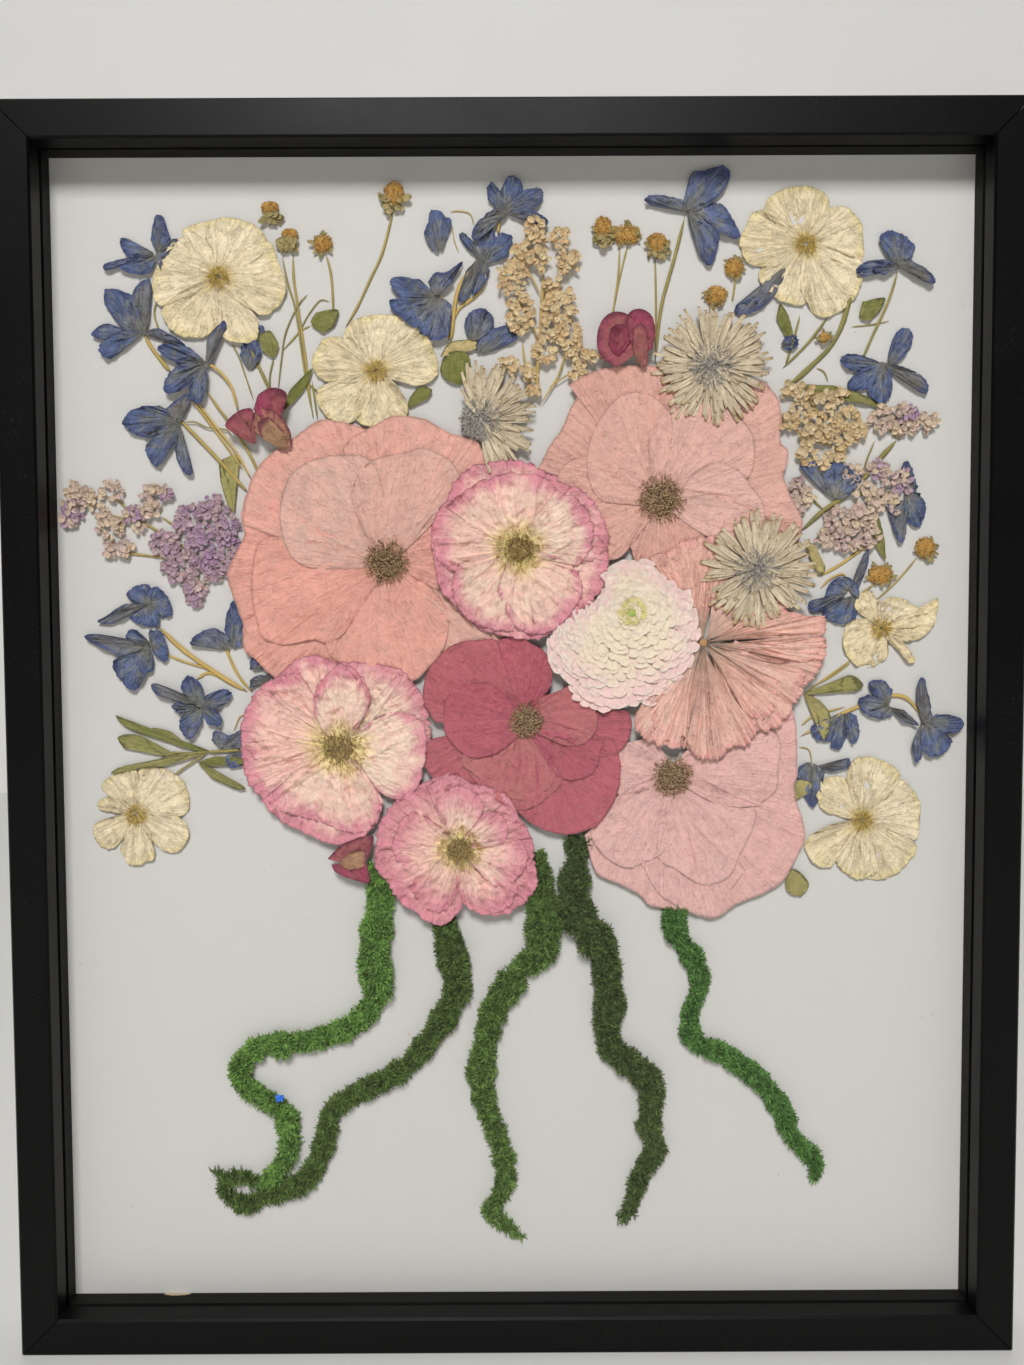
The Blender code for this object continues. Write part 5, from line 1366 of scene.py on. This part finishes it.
STATICE_LEFT = [
    ((78, 492), (4.6, 3.8), 0.1), ((72, 512), (4.2, 5.6), 0.0), ((88, 500), (3.0, 4.6), 0.1),
    ((113, 492), (4.6, 4.0), 0.1), ((154, 496), (5.0, 4.6), 0.1), ((150, 512), (4.0, 2.6), 0.1),
    ((167, 495), (2.0, 2.6), 0.9), ((136, 519), (4.2, 5.6), 0.0), ((112, 528), (6.0, 4.2), 0.1),
    ((119, 550), (5.8, 3.6), 0.2), ((103, 512), (2.6, 2.6), 0.2), ((166, 543), (5.4, 6.4), 0.8),
    ((192, 522), (6.4, 6.6), 0.9), ((214, 508), (6.0, 4.6), 0.8), ((228, 530), (4.4, 6.6), 0.9),
    ((206, 545), (8.0, 8.4), 1.0), ((182, 566), (7.6, 6.6), 0.7), ((216, 568), (7.2, 5.2), 0.8),
    ((196, 590), (4.0, 7.0), 0.8), ((235, 552), (3.2, 4.2), 0.9),
]
STATICE_RIGHT = [
    ((881, 419), (5.0, 5.8), 0.1), ((904, 416), (4.6, 4.8), 0.0), ((924, 423), (5.0, 3.2), 0.1),
    ((906, 428), (4.8, 2.6), 0.1), ((852, 472), (4.8, 2.9), 0.1), ((876, 470), (4.2, 3.6), 0.0),
    ((860, 489), (3.2, 2.8), 0.1), ((888, 478), (3.4, 3.0), 0.2), ((902, 482), (4.2, 4.6), 0.0),
    ((879, 500), (6.2, 4.2), 0.1), ((893, 506), (2.2, 3.4), 0.2), ((838, 522), (6.6, 5.6), 0.2),
    ((862, 516), (6.2, 4.6), 0.1), ((850, 540), (7.8, 4.8), 0.2), ((826, 538), (4.2, 4.0), 0.1),
    ((872, 536), (4.2, 4.6), 0.1), ((800, 486), (3.6, 3.0), 0.3), ((798, 504), (3.0, 4.4), 0.2),
    ((806, 496), (2.6, 2.6), 0.1),
]
# Width in mm, tone and pixels of each stem of the sprays
SPRIG_STEMS = {
    "dried_sprig": [
        (1.5, 0.8, [(543, 278), (542, 300), (540, 340), (537, 376), (537, 400)]),
        (0.8, 0.8, [(522, 262), (532, 278), (540, 294)]), (0.8, 0.8, [(562, 270), (552, 290), (543, 304)]),
        (0.8, 0.8, [(522, 340), (526, 368), (533, 390)]), (0.8, 0.8, [(514, 290), (530, 320), (539, 342)]),
        (0.8, 0.8, [(566, 350), (558, 376), (541, 404)]), (0.8, 0.8, [(535, 226), (541, 254), (543, 282)]),
        (0.7, 0.8, [(592, 358), (572, 372), (548, 388)]),
    ],
    "cream_cluster": [(1.0, 0.6, [(788, 424), (812, 440), (836, 446)]), (1.0, 0.6, [(806, 394), (820, 418),
    (824, 440)])],
    "statice_left": [
        (1.1, 0.5, [(92, 499), (106, 513), (124, 519), (144, 524), (158, 531), (178, 542)]),
        (0.8, 0.5, [(162, 517), (172, 524), (184, 530)]), (1.0, 0.5, [(120, 552), (150, 556), (184, 560)]),
        (0.9, 0.5, [(112, 494), (128, 510), (144, 524)]), (1.4, 0.3, [(178, 542), (196, 560), (197, 600)]),
    ],
    "statice_right": [
        (2.0, 0.1, [(897, 440), (879, 459), (852, 491), (824, 510), (800, 532)]),
        (1.3, 0.1, [(852, 495), (879, 494), (906, 489)]), (0.8, 0.2, [(875, 440), (867, 459), (863, 473)]),
        (1.0, 0.2, [(898, 442), (902, 428), (904, 416)]), (0.9, 0.2, [(897, 440), (888, 428), (881, 420)]),
        (0.9, 0.2, [(824, 510), (812, 500), (802, 492)]),
    ],
}


def build_sprigs(shared):
    """Sprays of tiny crumpled florets: straw, cream, and statice in beige and purple."""
    straw = petal_material("straw florets", tint(240, 220, 178), tint(236, 200, 148), streaks=4)
    cream = petal_material("cream florets", tint(240, 220, 182), tint(228, 196, 144), streaks=4)
    beige = petal_material("statice florets", tint(240, 218, 184), tint(186, 148, 188), streaks=4)
    sprays = {
        "dried_sprig": (DRIED_SPRIG, straw, HIGH, "straw"),
        "cream_cluster": (CREAM_CLUSTER, cream, MID, "cream"),
        "statice_left": (STATICE_LEFT, beige, LOW, "lilac"),
        "statice_right": (STATICE_RIGHT, beige, LOW, "lilac"),
    }
    for name, (clusters, look, lift, slot) in sprays.items():
        piece = Piece(name)
        for width, tone, line in SPRIG_STEMS[name]:
            piece.stalk(line, width, lift, tone)
        for centre, radii, purple in clusters:
            count = round(1.5 * radii[0] * radii[1]) + 4
            low, high = (0.55 * purple, 0.25 + 0.75 * purple) if purple else (0.0, 1.0)
            piece.tuft(centre, radii, count, lift + 0.4, 1.8, 2.9, tones=(low, high), width=0.75)
        piece.finish([look, shared["stem"], shared["honey"]], slot, [name])


# Small maroon flowers: layer, and petals as (tone, base and outline)
SNAPDRAGONS = {
    "snapdragon_left": (TOP, [
        (0.6, [(278, 446), (246, 424), (258, 410), (276, 412), (290, 430), (292, 446)]),
        (0.2, [(256, 444), (238, 436), (226, 426), (238, 412), (253, 410), (250, 430)]),
        (0.1, [(272, 424), (254, 410), (260, 394), (274, 388), (287, 394), (284, 412)]),
        (0.9, [(286, 450), (262, 438), (258, 424), (270, 418), (284, 432)]),
    ]),
    "snapdragon_top": (TOP, [
        (0.2, [(640, 346), (616, 368), (600, 356), (597, 334), (606, 316), (622, 312), (634, 320)]),
        (0.1, [(638, 350), (624, 330), (630, 312), (648, 312), (655, 330), (652, 350)]),
        (0.4, [(640, 366), (632, 346), (634, 328), (644, 326), (648, 346), (647, 366)]),
        (0.0, [(618, 356), (608, 344), (612, 328), (626, 326), (630, 342)]),
    ]),
    "snapdragon_low": (TOP, [
        (0.2, [(350, 862), (328, 858), (344, 843), (371, 835), (373, 845), (366, 862)]),
        (0.1, [(346, 864), (366, 860), (369, 882), (338, 873), (332, 864)]),
        (0.9, [(340, 862), (352, 852), (366, 850), (364, 866), (350, 870)]),
    ]),
}


def build_snapdragons(shared):
    """Small folded maroon flowers with a tan throat."""
    rose = petal_material("maroon petals", tint(150, 62, 86), tint(176, 138, 104), rim=tint(112, 44, 66),
                          rim_start=0.8, veins=0.35, streaks=14, blotch=0.4)
    for name, (lift, petals) in SNAPDRAGONS.items():
        piece = Piece(name)
        for index, (tone, line) in enumerate(petals):
            piece.petal(
                line[0], line[1:], lift + 0.2 * index, tone, size=(24, 14), crumple=1.1, pleat=0.6, rise=0.6
            )
        piece.finish([rose, shared["stem"], shared["honey"]], "maroon", [name])


# Moss strands: dark and pale leaflet colours, and the middle line with the width there, in pixels
MOSS = {
    "moss_far_left": ((70, 118, 44), (136, 176, 88), [
        (380, 862, 18), (382, 889, 26), (380, 909, 29), (376, 940, 35), (376, 966, 32), (378, 992, 25),
        (360, 1018, 22),
        (330, 1034, 22), (292, 1042, 22), (262, 1045, 21), (243, 1062, 19), (244, 1082, 18),
        (261, 1094, 19),
        (283, 1109, 18), (290, 1128, 18), (290, 1146, 17), (283, 1163, 15), (270, 1177, 12), (262, 1188, 9),
    ]),
    "moss_looped": ((56, 82, 34), (110, 136, 68), [
        (444, 920, 22), (450, 944, 28), (457, 971, 27), (457, 990, 26), (450, 1006, 23), (437, 1027, 25),
        (415, 1057, 18),
        (391, 1075, 18), (361, 1090, 18), (333, 1109, 15), (327, 1132, 17), (321, 1155, 17),
        (307, 1177, 18),
        (287, 1188, 17), (264, 1195, 14), (249, 1203, 12), (232, 1197, 11), (225, 1186, 11),
        (234, 1176, 10),
        (250, 1178, 9), (262, 1187, 8),
    ]),
    "moss_middle": ((60, 92, 38), (120, 150, 76), [
        (537, 852, 12), (542, 884, 20), (542, 906, 28), (543, 932, 32), (540, 954, 25), (521, 966, 22),
        (509, 985, 27),
        (495, 1006, 26), (488, 1030, 23), (482, 1062, 24), (482, 1084, 22), (488, 1109, 20),
        (498, 1136, 18),
        (505, 1163, 17), (505, 1181, 16), (497, 1199, 14), (490, 1209, 13), (504, 1222, 9), (523, 1238, 4),
    ]),
    "moss_right": ((52, 74, 34), (102, 122, 66), [
        (578, 837, 18), (576, 862, 26), (573, 891, 35), (576, 912, 35), (590, 931, 36), (603, 950, 31),
        (607, 979, 28),
        (609, 1002, 28), (606, 1027, 27), (612, 1047, 25), (632, 1063, 23), (650, 1082, 25),
        (650, 1106, 21),
        (649, 1127, 20), (655, 1147, 22), (643, 1168, 16), (634, 1191, 13), (629, 1209, 11), (618, 1218, 9),
    ]),
    "moss_far_right": ((56, 110, 44), (116, 162, 84), [
        (674, 908, 20), (674, 927, 25), (682, 942, 14), (693, 958, 17), (699, 977, 13), (697, 994, 10),
        (691, 1006, 14),
        (689, 1027, 16), (697, 1042, 15), (718, 1050, 14), (739, 1063, 14), (760, 1080, 16),
        (773, 1097, 17),
        (785, 1115, 16), (786, 1126, 12), (798, 1143, 11), (815, 1160, 12), (813, 1179, 6),
    ]),
}


# Leaflets on each strand, their length in mm, and the share of the strand's width that its core fills
LEAFLETS = 15000
LEAFLET_LENGTH = 2.7
CORE_SHARE = 0.6
# How much darker than its dark colour the moss is painted at its core and the foot of its leaflets, as
# painted shade, and paler at their tips
PAINTED_CORE_SHADE = 0.35
TIP_SHADE = 1.14


def leaflet():
    """One curved moss leaflet, 1 m long so that it takes its length from its scale."""
    bm = bmesh.new()
    made = bmesh.ops.create_grid(bm, x_segments=2, y_segments=3, size=0.5)
    for vert in made["verts"]:
        along = vert.co.y + 0.5
        wide = 0.13 * math.sin(math.pi * (0.2 + 0.78 * along))
        vert.co = Vector((vert.co.x * 2 * wide, 0.35 * along * along - abs(vert.co.x) * 0.25, along))
    return add_object("moss_leaflet", as_mesh(bm, "moss_leaflet"))


def scatter(piece, leaf, count, length, seed):
    """Grow leaflets, of a length in mm, over the piece's surface and make them part of its mesh."""
    group = bpy.data.node_groups.new("growth", "GeometryNodeTree")
    group.interface.new_socket("Geometry", in_out="INPUT", socket_type="NodeSocketGeometry")
    group.interface.new_socket("Geometry", in_out="OUTPUT", socket_type="NodeSocketGeometry")

    def node(kind, settings=None, inputs=None):
        made = group.nodes.new(kind)
        for key, value in (settings or {}).items():
            setattr(made, key, value)
        for key, value in (inputs or {}).items():
            if isinstance(value, bpy.types.NodeSocket):
                group.links.new(value, made.inputs[key])
            else:
                made.inputs[key].default_value = value
        return made

    def chance(low, high, offset, data="FLOAT"):
        """A value for each point, drawn between low and high."""
        made = node("FunctionNodeRandomValue", {"data_type": data})
        first, second = (0, 1) if data == "FLOAT_VECTOR" else (2, 3)
        made.inputs[first].default_value, made.inputs[second].default_value = low, high
        made.inputs["Seed"].default_value = seed + offset
        return made.outputs[0] if data == "FLOAT_VECTOR" else made.outputs[1]

    area = sum(face.area for face in piece.data.polygons)
    start = node("NodeGroupInput")
    finish = node("NodeGroupOutput")
    points = node(
        "GeometryNodeDistributePointsOnFaces", None,
        {"Mesh": start.outputs[0], "Density": count / area, "Seed": seed},
    )
    lean = node("FunctionNodeRotateRotation", {"rotation_space": "LOCAL"}, {
        0: points.outputs["Rotation"], 1: chance((-1.1, -1.1, -3.14), (1.1, 1.1, 3.14), 1, "FLOAT_VECTOR"),
    })
    source = node("GeometryNodeObjectInfo", None, {"Object": leaf, "As Instance": True})
    spread = node("GeometryNodeInstanceOnPoints", None, {
        "Points": points.outputs["Points"], "Instance": source.outputs["Geometry"],
        "Rotation": lean.outputs[0], "Scale": chance(0.5 * length * MM, 1.35 * length * MM, 2),
    })
    toned = node("GeometryNodeStoreNamedAttribute", {"data_type": "FLOAT", "domain": "INSTANCE"}, {
        "Geometry": spread.outputs[0], "Name": "tone", "Value": chance(0.15, 1.0, 3),
    })
    real = node("GeometryNodeRealizeInstances", None, {0: toned.outputs[0]})
    joined = node("GeometryNodeJoinGeometry")
    group.links.new(start.outputs[0], joined.inputs[0])
    group.links.new(real.outputs[0], joined.inputs[0])
    group.links.new(joined.outputs[0], finish.inputs[0])
    growth = piece.modifiers.new("growth", "NODES")
    growth.node_group = group
    bpy.context.view_layer.update()
    grown = bpy.data.meshes.new_from_object(piece.evaluated_get(bpy.context.evaluated_depsgraph_get()))
    piece.modifiers.clear()
    old = piece.data
    grown.materials.clear()
    for material in old.materials:
        grown.materials.append(material)
    piece.data = grown
    bpy.data.meshes.remove(old)
    bpy.data.node_groups.remove(group)


# The pixel of the torn blue fleck
FLECK = (279.6, 1098)


def add_fleck(strand):
    """Put the torn blue fleck of paper on a strand, as its second material."""
    bm = bmesh.new()
    bm.from_mesh(strand.data)
    middle = spot(FLECK, 5.0)
    made = bmesh.ops.create_grid(bm, x_segments=5, y_segments=5, size=0.5)
    for vert in made["verts"]:
        flat = middle + Vector((vert.co.x * 3.4, vert.co.y * 3.0)) * (1 + 0.5 * noise.noise(vert.co * 4))
        vert.co = raised(flat, 5.2 + 0.9 * noise.noise(vert.co * 5))
    dress(made["verts"], STEM)
    bm.to_mesh(strand.data)
    bm.free()


def build_moss():
    """Strands of moss: a lumpy core, painted dark as the shade under its leaflets, thick with leaflets."""
    leaf = leaflet()
    fleck = grain_material("blue fleck", tint(40, 110, 220), tint(90, 160, 250), 1500)
    for index, (name, (dark, pale, strand)) in enumerate(MOSS.items()):
        piece = Piece(name)
        middle = [spot(pixel[:2], LOW) for pixel in strand]
        half = [Vector((0.5 * PIXEL * CORE_SHARE * pixel[2], 0)) for pixel in strand]

        def place(across, along):
            here = curve_through(middle, along)
            wide = curve_through(half, along).x * min(1.0, 12 * (1.0 - along) + 0.25)
            turn = 2 * math.pi * across
            where = Vector((here.x * 0.2, here.y * 0.2, math.sin(turn) + 0.4 * index))
            lump = max(0.8, 1.1 + noise.noise(where))
            thick = min(3.0, 0.6 * wide)
            height = LOW + 0.2 + thick * lump * (1 + math.sin(turn)) * 0.9
            return raised(here + sideways(middle, along) * math.cos(turn) * wide * lump, height)

        piece.grid(14, 6 * len(strand), place, seam=True)
        # The core keeps tone 0, so it takes this darkest colour: painted shade for the depth under the
        # leaflets
        foot = tint(*[PAINTED_CORE_SHADE * value for value in dark])
        tip = tint(*[TIP_SHADE * value for value in pale])
        look = grain_material(f"{name} leaflets", foot, tip, 240)
        if name == "moss_looped":
            piece.stalk([(214, 1171), (223, 1176), (231, 1186)], 1.0, LOW + 1.2, slot=PETAL)
        grown = piece.finish([look, fleck], "moss", [name])
        leaf.data.materials.clear()
        leaf.data.materials.append(look)
        scatter(grown, leaf, LEAFLETS, LEAFLET_LENGTH, 11 + index)
        if name == "moss_far_left":
            add_fleck(grown)
    bpy.data.objects.remove(leaf)


def paint(material, *names):
    """Give CAD nodes, whose shape is right, a better material."""
    for name in names:
        for material_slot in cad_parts[name].material_slots:
            material_slot.material = material


def satin_black():
    """Satin black paint with dust and a little unevenness."""
    shader = Shader("satin black")
    where = shader.places()
    waves = shader.noise(where, 30, 3.0)
    grain = shader.noise(where, 1400, 4.0, 0.7)
    dust = shader.noise(where, 2600, 2.0, 0.4).ramp(0.70, 0.76) * waves.ramp(0.45, 0.7)
    color = shader.mix((dust * 0.3).clamped(), tint(6, 6, 6), tint(150, 146, 138))
    rough = 0.3 + waves * 0.12 + grain * 0.1 + dust * 0.4
    return shader.finish(color, rough, shader.bump(grain, 0.16, 0.12), Specular_IOR_Level=0.14)


# The pixel of the chip on the lower spacer, its y in metres, and one over its half size in metres each way
CHIP = (175, 1298)
CHIP_Y = 0.0008
CHIP_SCALE = (150, 700, 60)


def spacer_black():
    """Black card of the inner walls, with one chip that shows pale wood."""
    shader = Shader("spacer black")
    where = shader.places()
    grain = shader.noise(where, 700, 4.0, 0.7)
    chip = spot(CHIP, 4)
    centre = (chip.x * MM, CHIP_Y, chip.y * MM)
    off = shader.node("ShaderNodeVectorMath", {"operation": "SUBTRACT"}, {0: where, 1: centre})
    parts = shader.node("ShaderNodeSeparateXYZ", None, {0: off.outputs[0]})
    across, deep, up = [Value(shader, parts.outputs[axis]) * CHIP_SCALE[axis] for axis in range(3)]
    far = across * across + up * up + deep * deep + (grain - 0.5) * 1.1
    color = shader.mix(far.ramp(0.9, 0.7), tint(16, 15, 14), tint(190, 170, 140))
    return shader.finish(color, 0.5 + grain * 0.25, shader.bump(grain, 0.3, 0.2), Specular_IOR_Level=0.2)


def white_card():
    """Soft white board with fibres, a little dust and pollen."""
    shader = Shader("white card")
    where = shader.places()
    cloud = shader.noise(where, 9, 2.0)
    fibre = shader.noise(where, 1500, 5.0, 0.75, 1.2)
    speck = shader.noise(where, 620, 1.0, 0.3).ramp(0.795, 0.82)
    color = shader.mix(cloud * 0.5, tint(207, 205, 201), tint(202, 200, 194))
    color = shader.mix(speck * 0.7, color, tint(176, 150, 120))
    return shader.finish(color, 0.8 + fibre * 0.15, shader.bump(fibre, 0.25, 0.12))


def kraft_board():
    """Brown fibreboard back with pressed fibres and stains."""
    shader = Shader("kraft board")
    where = shader.places()
    fibre = shader.noise(where, 420, 6.0, 0.8, 1.5)
    cloud = shader.noise(where, 14, 3.0)
    share = (fibre.ramp(0.35, 0.65) * 0.6 + cloud * 0.4).clamped()
    color = shader.mix(share, tint(112, 82, 54), tint(158, 122, 84))
    return shader.finish(color, 0.7 + fibre * 0.2, shader.bump(fibre, 0.6, 0.4))


def zinc():
    """Dull zinc plate with fine scratches."""
    shader = Shader("zinc")
    where = shader.places()
    mottle = shader.noise(where, 260, 4.0, 0.7, 0.6)
    color = shader.mix(mottle, tint(150, 152, 154), tint(196, 198, 200))
    return shader.finish(color, 0.28 + mottle * 0.25, shader.bump(mottle, 0.2, 0.1), Metallic=1.0)


def clear_glass():
    """Glass that lets straight light through and mirrors more towards its edges."""
    shader = Shader("clear glass")
    where = shader.places()
    facing = Value(shader, shader.node("ShaderNodeLayerWeight", None, {"Blend": 0.5}).outputs["Facing"])
    inside = Value(shader, shader.node("ShaderNodeNewGeometry").outputs["Backfacing"])
    film = shader.noise(where, 16, 4.0, 0.6)
    speck = shader.noise(where, 900, 1.0, 0.3).ramp(0.80, 0.82)
    mirror = (0.01 + facing**5 * 0.7 + speck * 0.1) * (1 - inside)
    shader.join(shader.surface.inputs["Alpha"], mirror.clamped())
    return shader.finish(None, 0.02 + film * 0.05, None, Base_Color=tint(236, 240, 238), Metallic=1.0)


def build_mitre_glue(look):
    """Dark glue that fills the thin gap of each mitre, before and behind the lip of the rails."""
    bm = bmesh.new()
    for side, up in ((-1, 0), (1, 0), (-1, 1), (1, 1)):
        for inner, near, far in ((FACE_REACH, 0.9, LIP_Y), (SIDE_REACH, LIP_Y, 34.6)):
            for vert in bmesh.ops.create_cube(bm, size=1)["verts"]:
                inward = EASED + (inner - EASED) * (vert.co.x + 0.5)
                thin = 0.15 * vert.co.z
                deep = near + (far - near) * (vert.co.y + 0.5)
                rise = inward + thin
                height = HEIGHT - rise if up else rise
                vert.co = Vector((side * (HALF_WIDTH - inward + thin), deep - HALF_DEPTH, height)) * MM
    bmesh.ops.recalc_face_normals(bm, faces=bm.faces[:])
    glue = add_object("mitre_glue", as_mesh(bm, "mitre_glue"))
    glue.data.materials.append(look)
    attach(glue, BODY)


def plain_material(name, color, roughness):
    """A plain pale surface with a faint unevenness, for the stage."""
    shader = Shader(name)
    cloud = shader.noise(shader.places(), 3, 2.0)
    return shader.finish(shader.mix(cloud, color, tint(240, 239, 236)), roughness, None)


def build_stage(settings):
    """Pale floor and backdrop, the key light from above in front, the fill, and the camera."""
    for name, place, turn in (("floor", (0, 0, 0), 0), ("backdrop", (0, 1.6, 0), 90)):
        bm = bmesh.new()
        bmesh.ops.create_grid(bm, x_segments=1, y_segments=1, size=4)
        plane = add_object(name, as_mesh(bm, name))
        plane.location = place
        plane.rotation_euler = (math.radians(turn), 0, 0)
        plane.data.materials.append(plain_material(name, tint(232, 231, 228), 0.7))
    lamp = bpy.data.lights.new("key", "AREA")
    lamp.energy = settings.key_power
    lamp.size = settings.key_size
    key = add_object("key", lamp)
    middle = Vector((0, 0, FRONT_MIDDLE.z * MM))
    rise = settings.key_elevation
    away = Vector((-0.06, -math.cos(rise), math.sin(rise))).normalized()
    key.location = middle + away * settings.key_distance
    key.rotation_euler = away.to_track_quat("Z", "Y").to_euler()
    world = bpy.data.worlds.new("fill")
    world.use_nodes = True
    light = world.node_tree.nodes["Background"]
    light.inputs["Color"].default_value = (1.0, 0.96, 0.9, 1.0)
    light.inputs["Strength"].default_value = settings.fill
    bpy.context.scene.world = world
    bpy.context.scene.view_settings.view_transform = "Standard"
    lens = bpy.data.cameras.new("camera")
    lens.sensor_fit = "AUTO"
    lens.sensor_width = SENSOR
    lens.lens = SENSOR * FOCAL_PIXELS / PHOTO_SIZE[1]
    lens.clip_start = 0.01
    camera = add_object("camera", lens)
    upright = Matrix.Rotation(math.pi / 2, 4, "X")
    camera.matrix_world = Matrix.Translation(EYE * MM) @ (VIEW.to_4x4() @ upright)
    bpy.context.scene.camera = camera


class FlowerFrameSettings(bpy.types.PropertyGroup):
    """What can be set before the pieces are built."""

    key_power: bpy.props.FloatProperty(
        name="Key power", description="Power of the key light", default=180.0, min=0.0, unit="POWER"
    )
    key_size: bpy.props.FloatProperty(
        name="Key size", description="Side of the key light", default=1.35, min=0.01, unit="LENGTH"
    )
    key_distance: bpy.props.FloatProperty(
        name="Key distance", description="From the frame's middle to the key light", default=5.0, min=0.5,
        unit="LENGTH",
    )
    key_elevation: bpy.props.FloatProperty(
        name="Key elevation", description="Height of the key light as an angle", default=math.radians(38),
        subtype="ANGLE",
    )
    fill: bpy.props.FloatProperty(
        name="Fill", description="Strength of the light from all round", default=0.055, min=0.0,
        subtype="FACTOR",
    )


class BuildStep:
    """What every operator of this add-on shares: undo, and one call of its own build."""

    bl_options = {"REGISTER", "UNDO"}

    def execute(self, context):
        self.build(context)
        return {"FINISHED"}


class FLOWERFRAME_OT_case(BuildStep, bpy.types.Operator):
    """Paint the rails, spacers, glass, boards and fittings"""

    bl_idname = "flowerframe.case"
    bl_label = "Case"

    def build(self, context):
        black = satin_black()
        paint(black, "rail_bottom", "rail_left", "rail_top", "rail_right")
        build_mitre_glue(black)
        paint(spacer_black(), "spacer_left", "spacer_right", "spacer_bottom", "spacer_top")
        paint(clear_glass(), "glass")
        paint(white_card(), "mount_board")
        paint(kraft_board(), "back_board")
        paint(zinc(), "tab_left", "tab_right", "tab_bottom", "tab_top", "hanger")


class FLOWERFRAME_OT_poppies(BuildStep, bpy.types.Operator):
    """Build the four broad-petalled blooms"""

    bl_idname = "flowerframe.poppies"
    bl_label = "Broad blooms"

    def build(self, context):
        build_poppies()


class FLOWERFRAME_OT_roses(BuildStep, bpy.types.Operator):
    """Build the three crumpled blooms"""

    bl_idname = "flowerframe.roses"
    bl_label = "Crumpled blooms"

    def build(self, context):
        build_roses()


class FLOWERFRAME_OT_ranunculus(BuildStep, bpy.types.Operator):
    """Build the many-petalled cream bloom"""

    bl_idname = "flowerframe.ranunculus"
    bl_label = "Cream bloom"

    def build(self, context):
        build_ranunculus()


class FLOWERFRAME_OT_carnation(BuildStep, bpy.types.Operator):
    """Build the toothed coral bloom"""

    bl_idname = "flowerframe.carnation"
    bl_label = "Toothed bloom"

    def build(self, context):
        build_carnation()


class FLOWERFRAME_OT_asters(BuildStep, bpy.types.Operator):
    """Build the three rayed heads"""

    bl_idname = "flowerframe.asters"
    bl_label = "Rayed heads"

    def build(self, context):
        build_asters()


class FLOWERFRAME_OT_cream_flowers(BuildStep, bpy.types.Operator):
    """Build the flat cream flowers"""

    bl_idname = "flowerframe.cream_flowers"
    bl_label = "Cream flowers"

    def build(self, context):
        build_cream_flowers()


class FLOWERFRAME_OT_small_pieces(BuildStep, bpy.types.Operator):
    """Build the blue florets, domed heads, leaves, sprays and maroon flowers"""

    bl_idname = "flowerframe.small_pieces"
    bl_label = "Small pieces"

    def build(self, context):
        shared = petal_set()
        build_delphiniums(shared)
        build_chamomiles(shared)
        build_leaves(shared)
        build_sprigs(shared)
        build_snapdragons(shared)


class FLOWERFRAME_OT_moss(BuildStep, bpy.types.Operator):
    """Build the five strands of moss"""

    bl_idname = "flowerframe.moss"
    bl_label = "Moss"

    def build(self, context):
        build_moss()


class FLOWERFRAME_OT_stage(BuildStep, bpy.types.Operator):
    """Build the stage, the lights and the camera"""

    bl_idname = "flowerframe.stage"
    bl_label = "Stage"

    def build(self, context):
        build_stage(context.scene.flower_frame)


STEPS = (
    FLOWERFRAME_OT_case, FLOWERFRAME_OT_poppies, FLOWERFRAME_OT_roses, FLOWERFRAME_OT_ranunculus,
    FLOWERFRAME_OT_carnation, FLOWERFRAME_OT_asters, FLOWERFRAME_OT_cream_flowers,
    FLOWERFRAME_OT_small_pieces, FLOWERFRAME_OT_moss, FLOWERFRAME_OT_stage,
)


class FLOWERFRAME_PT_panel(bpy.types.Panel):
    """The add-on's panel in the sidebar"""

    bl_label = "Flower frame"
    bl_space_type = "VIEW_3D"
    bl_region_type = "UI"
    bl_category = "Flower frame"

    def draw(self, context):
        for name in FlowerFrameSettings.__annotations__:
            self.layout.prop(context.scene.flower_frame, name)
        for step in STEPS:
            self.layout.operator(step.bl_idname)


CLASSES = (FlowerFrameSettings, *STEPS, FLOWERFRAME_PT_panel)


def register():
    for kind in CLASSES:
        bpy.utils.register_class(kind)
    bpy.types.Scene.flower_frame = bpy.props.PointerProperty(type=FlowerFrameSettings)


def unregister():
    del bpy.types.Scene.flower_frame
    for kind in reversed(CLASSES):
        bpy.utils.unregister_class(kind)


def main():
    register()
    for step in STEPS:
        name = step.bl_idname.split(".")[1]
        if getattr(bpy.ops.flowerframe, name)() != {"FINISHED"}:
            raise RuntimeError(f"the step {name} didn't finish")


if __name__ == "__main__":
    main()
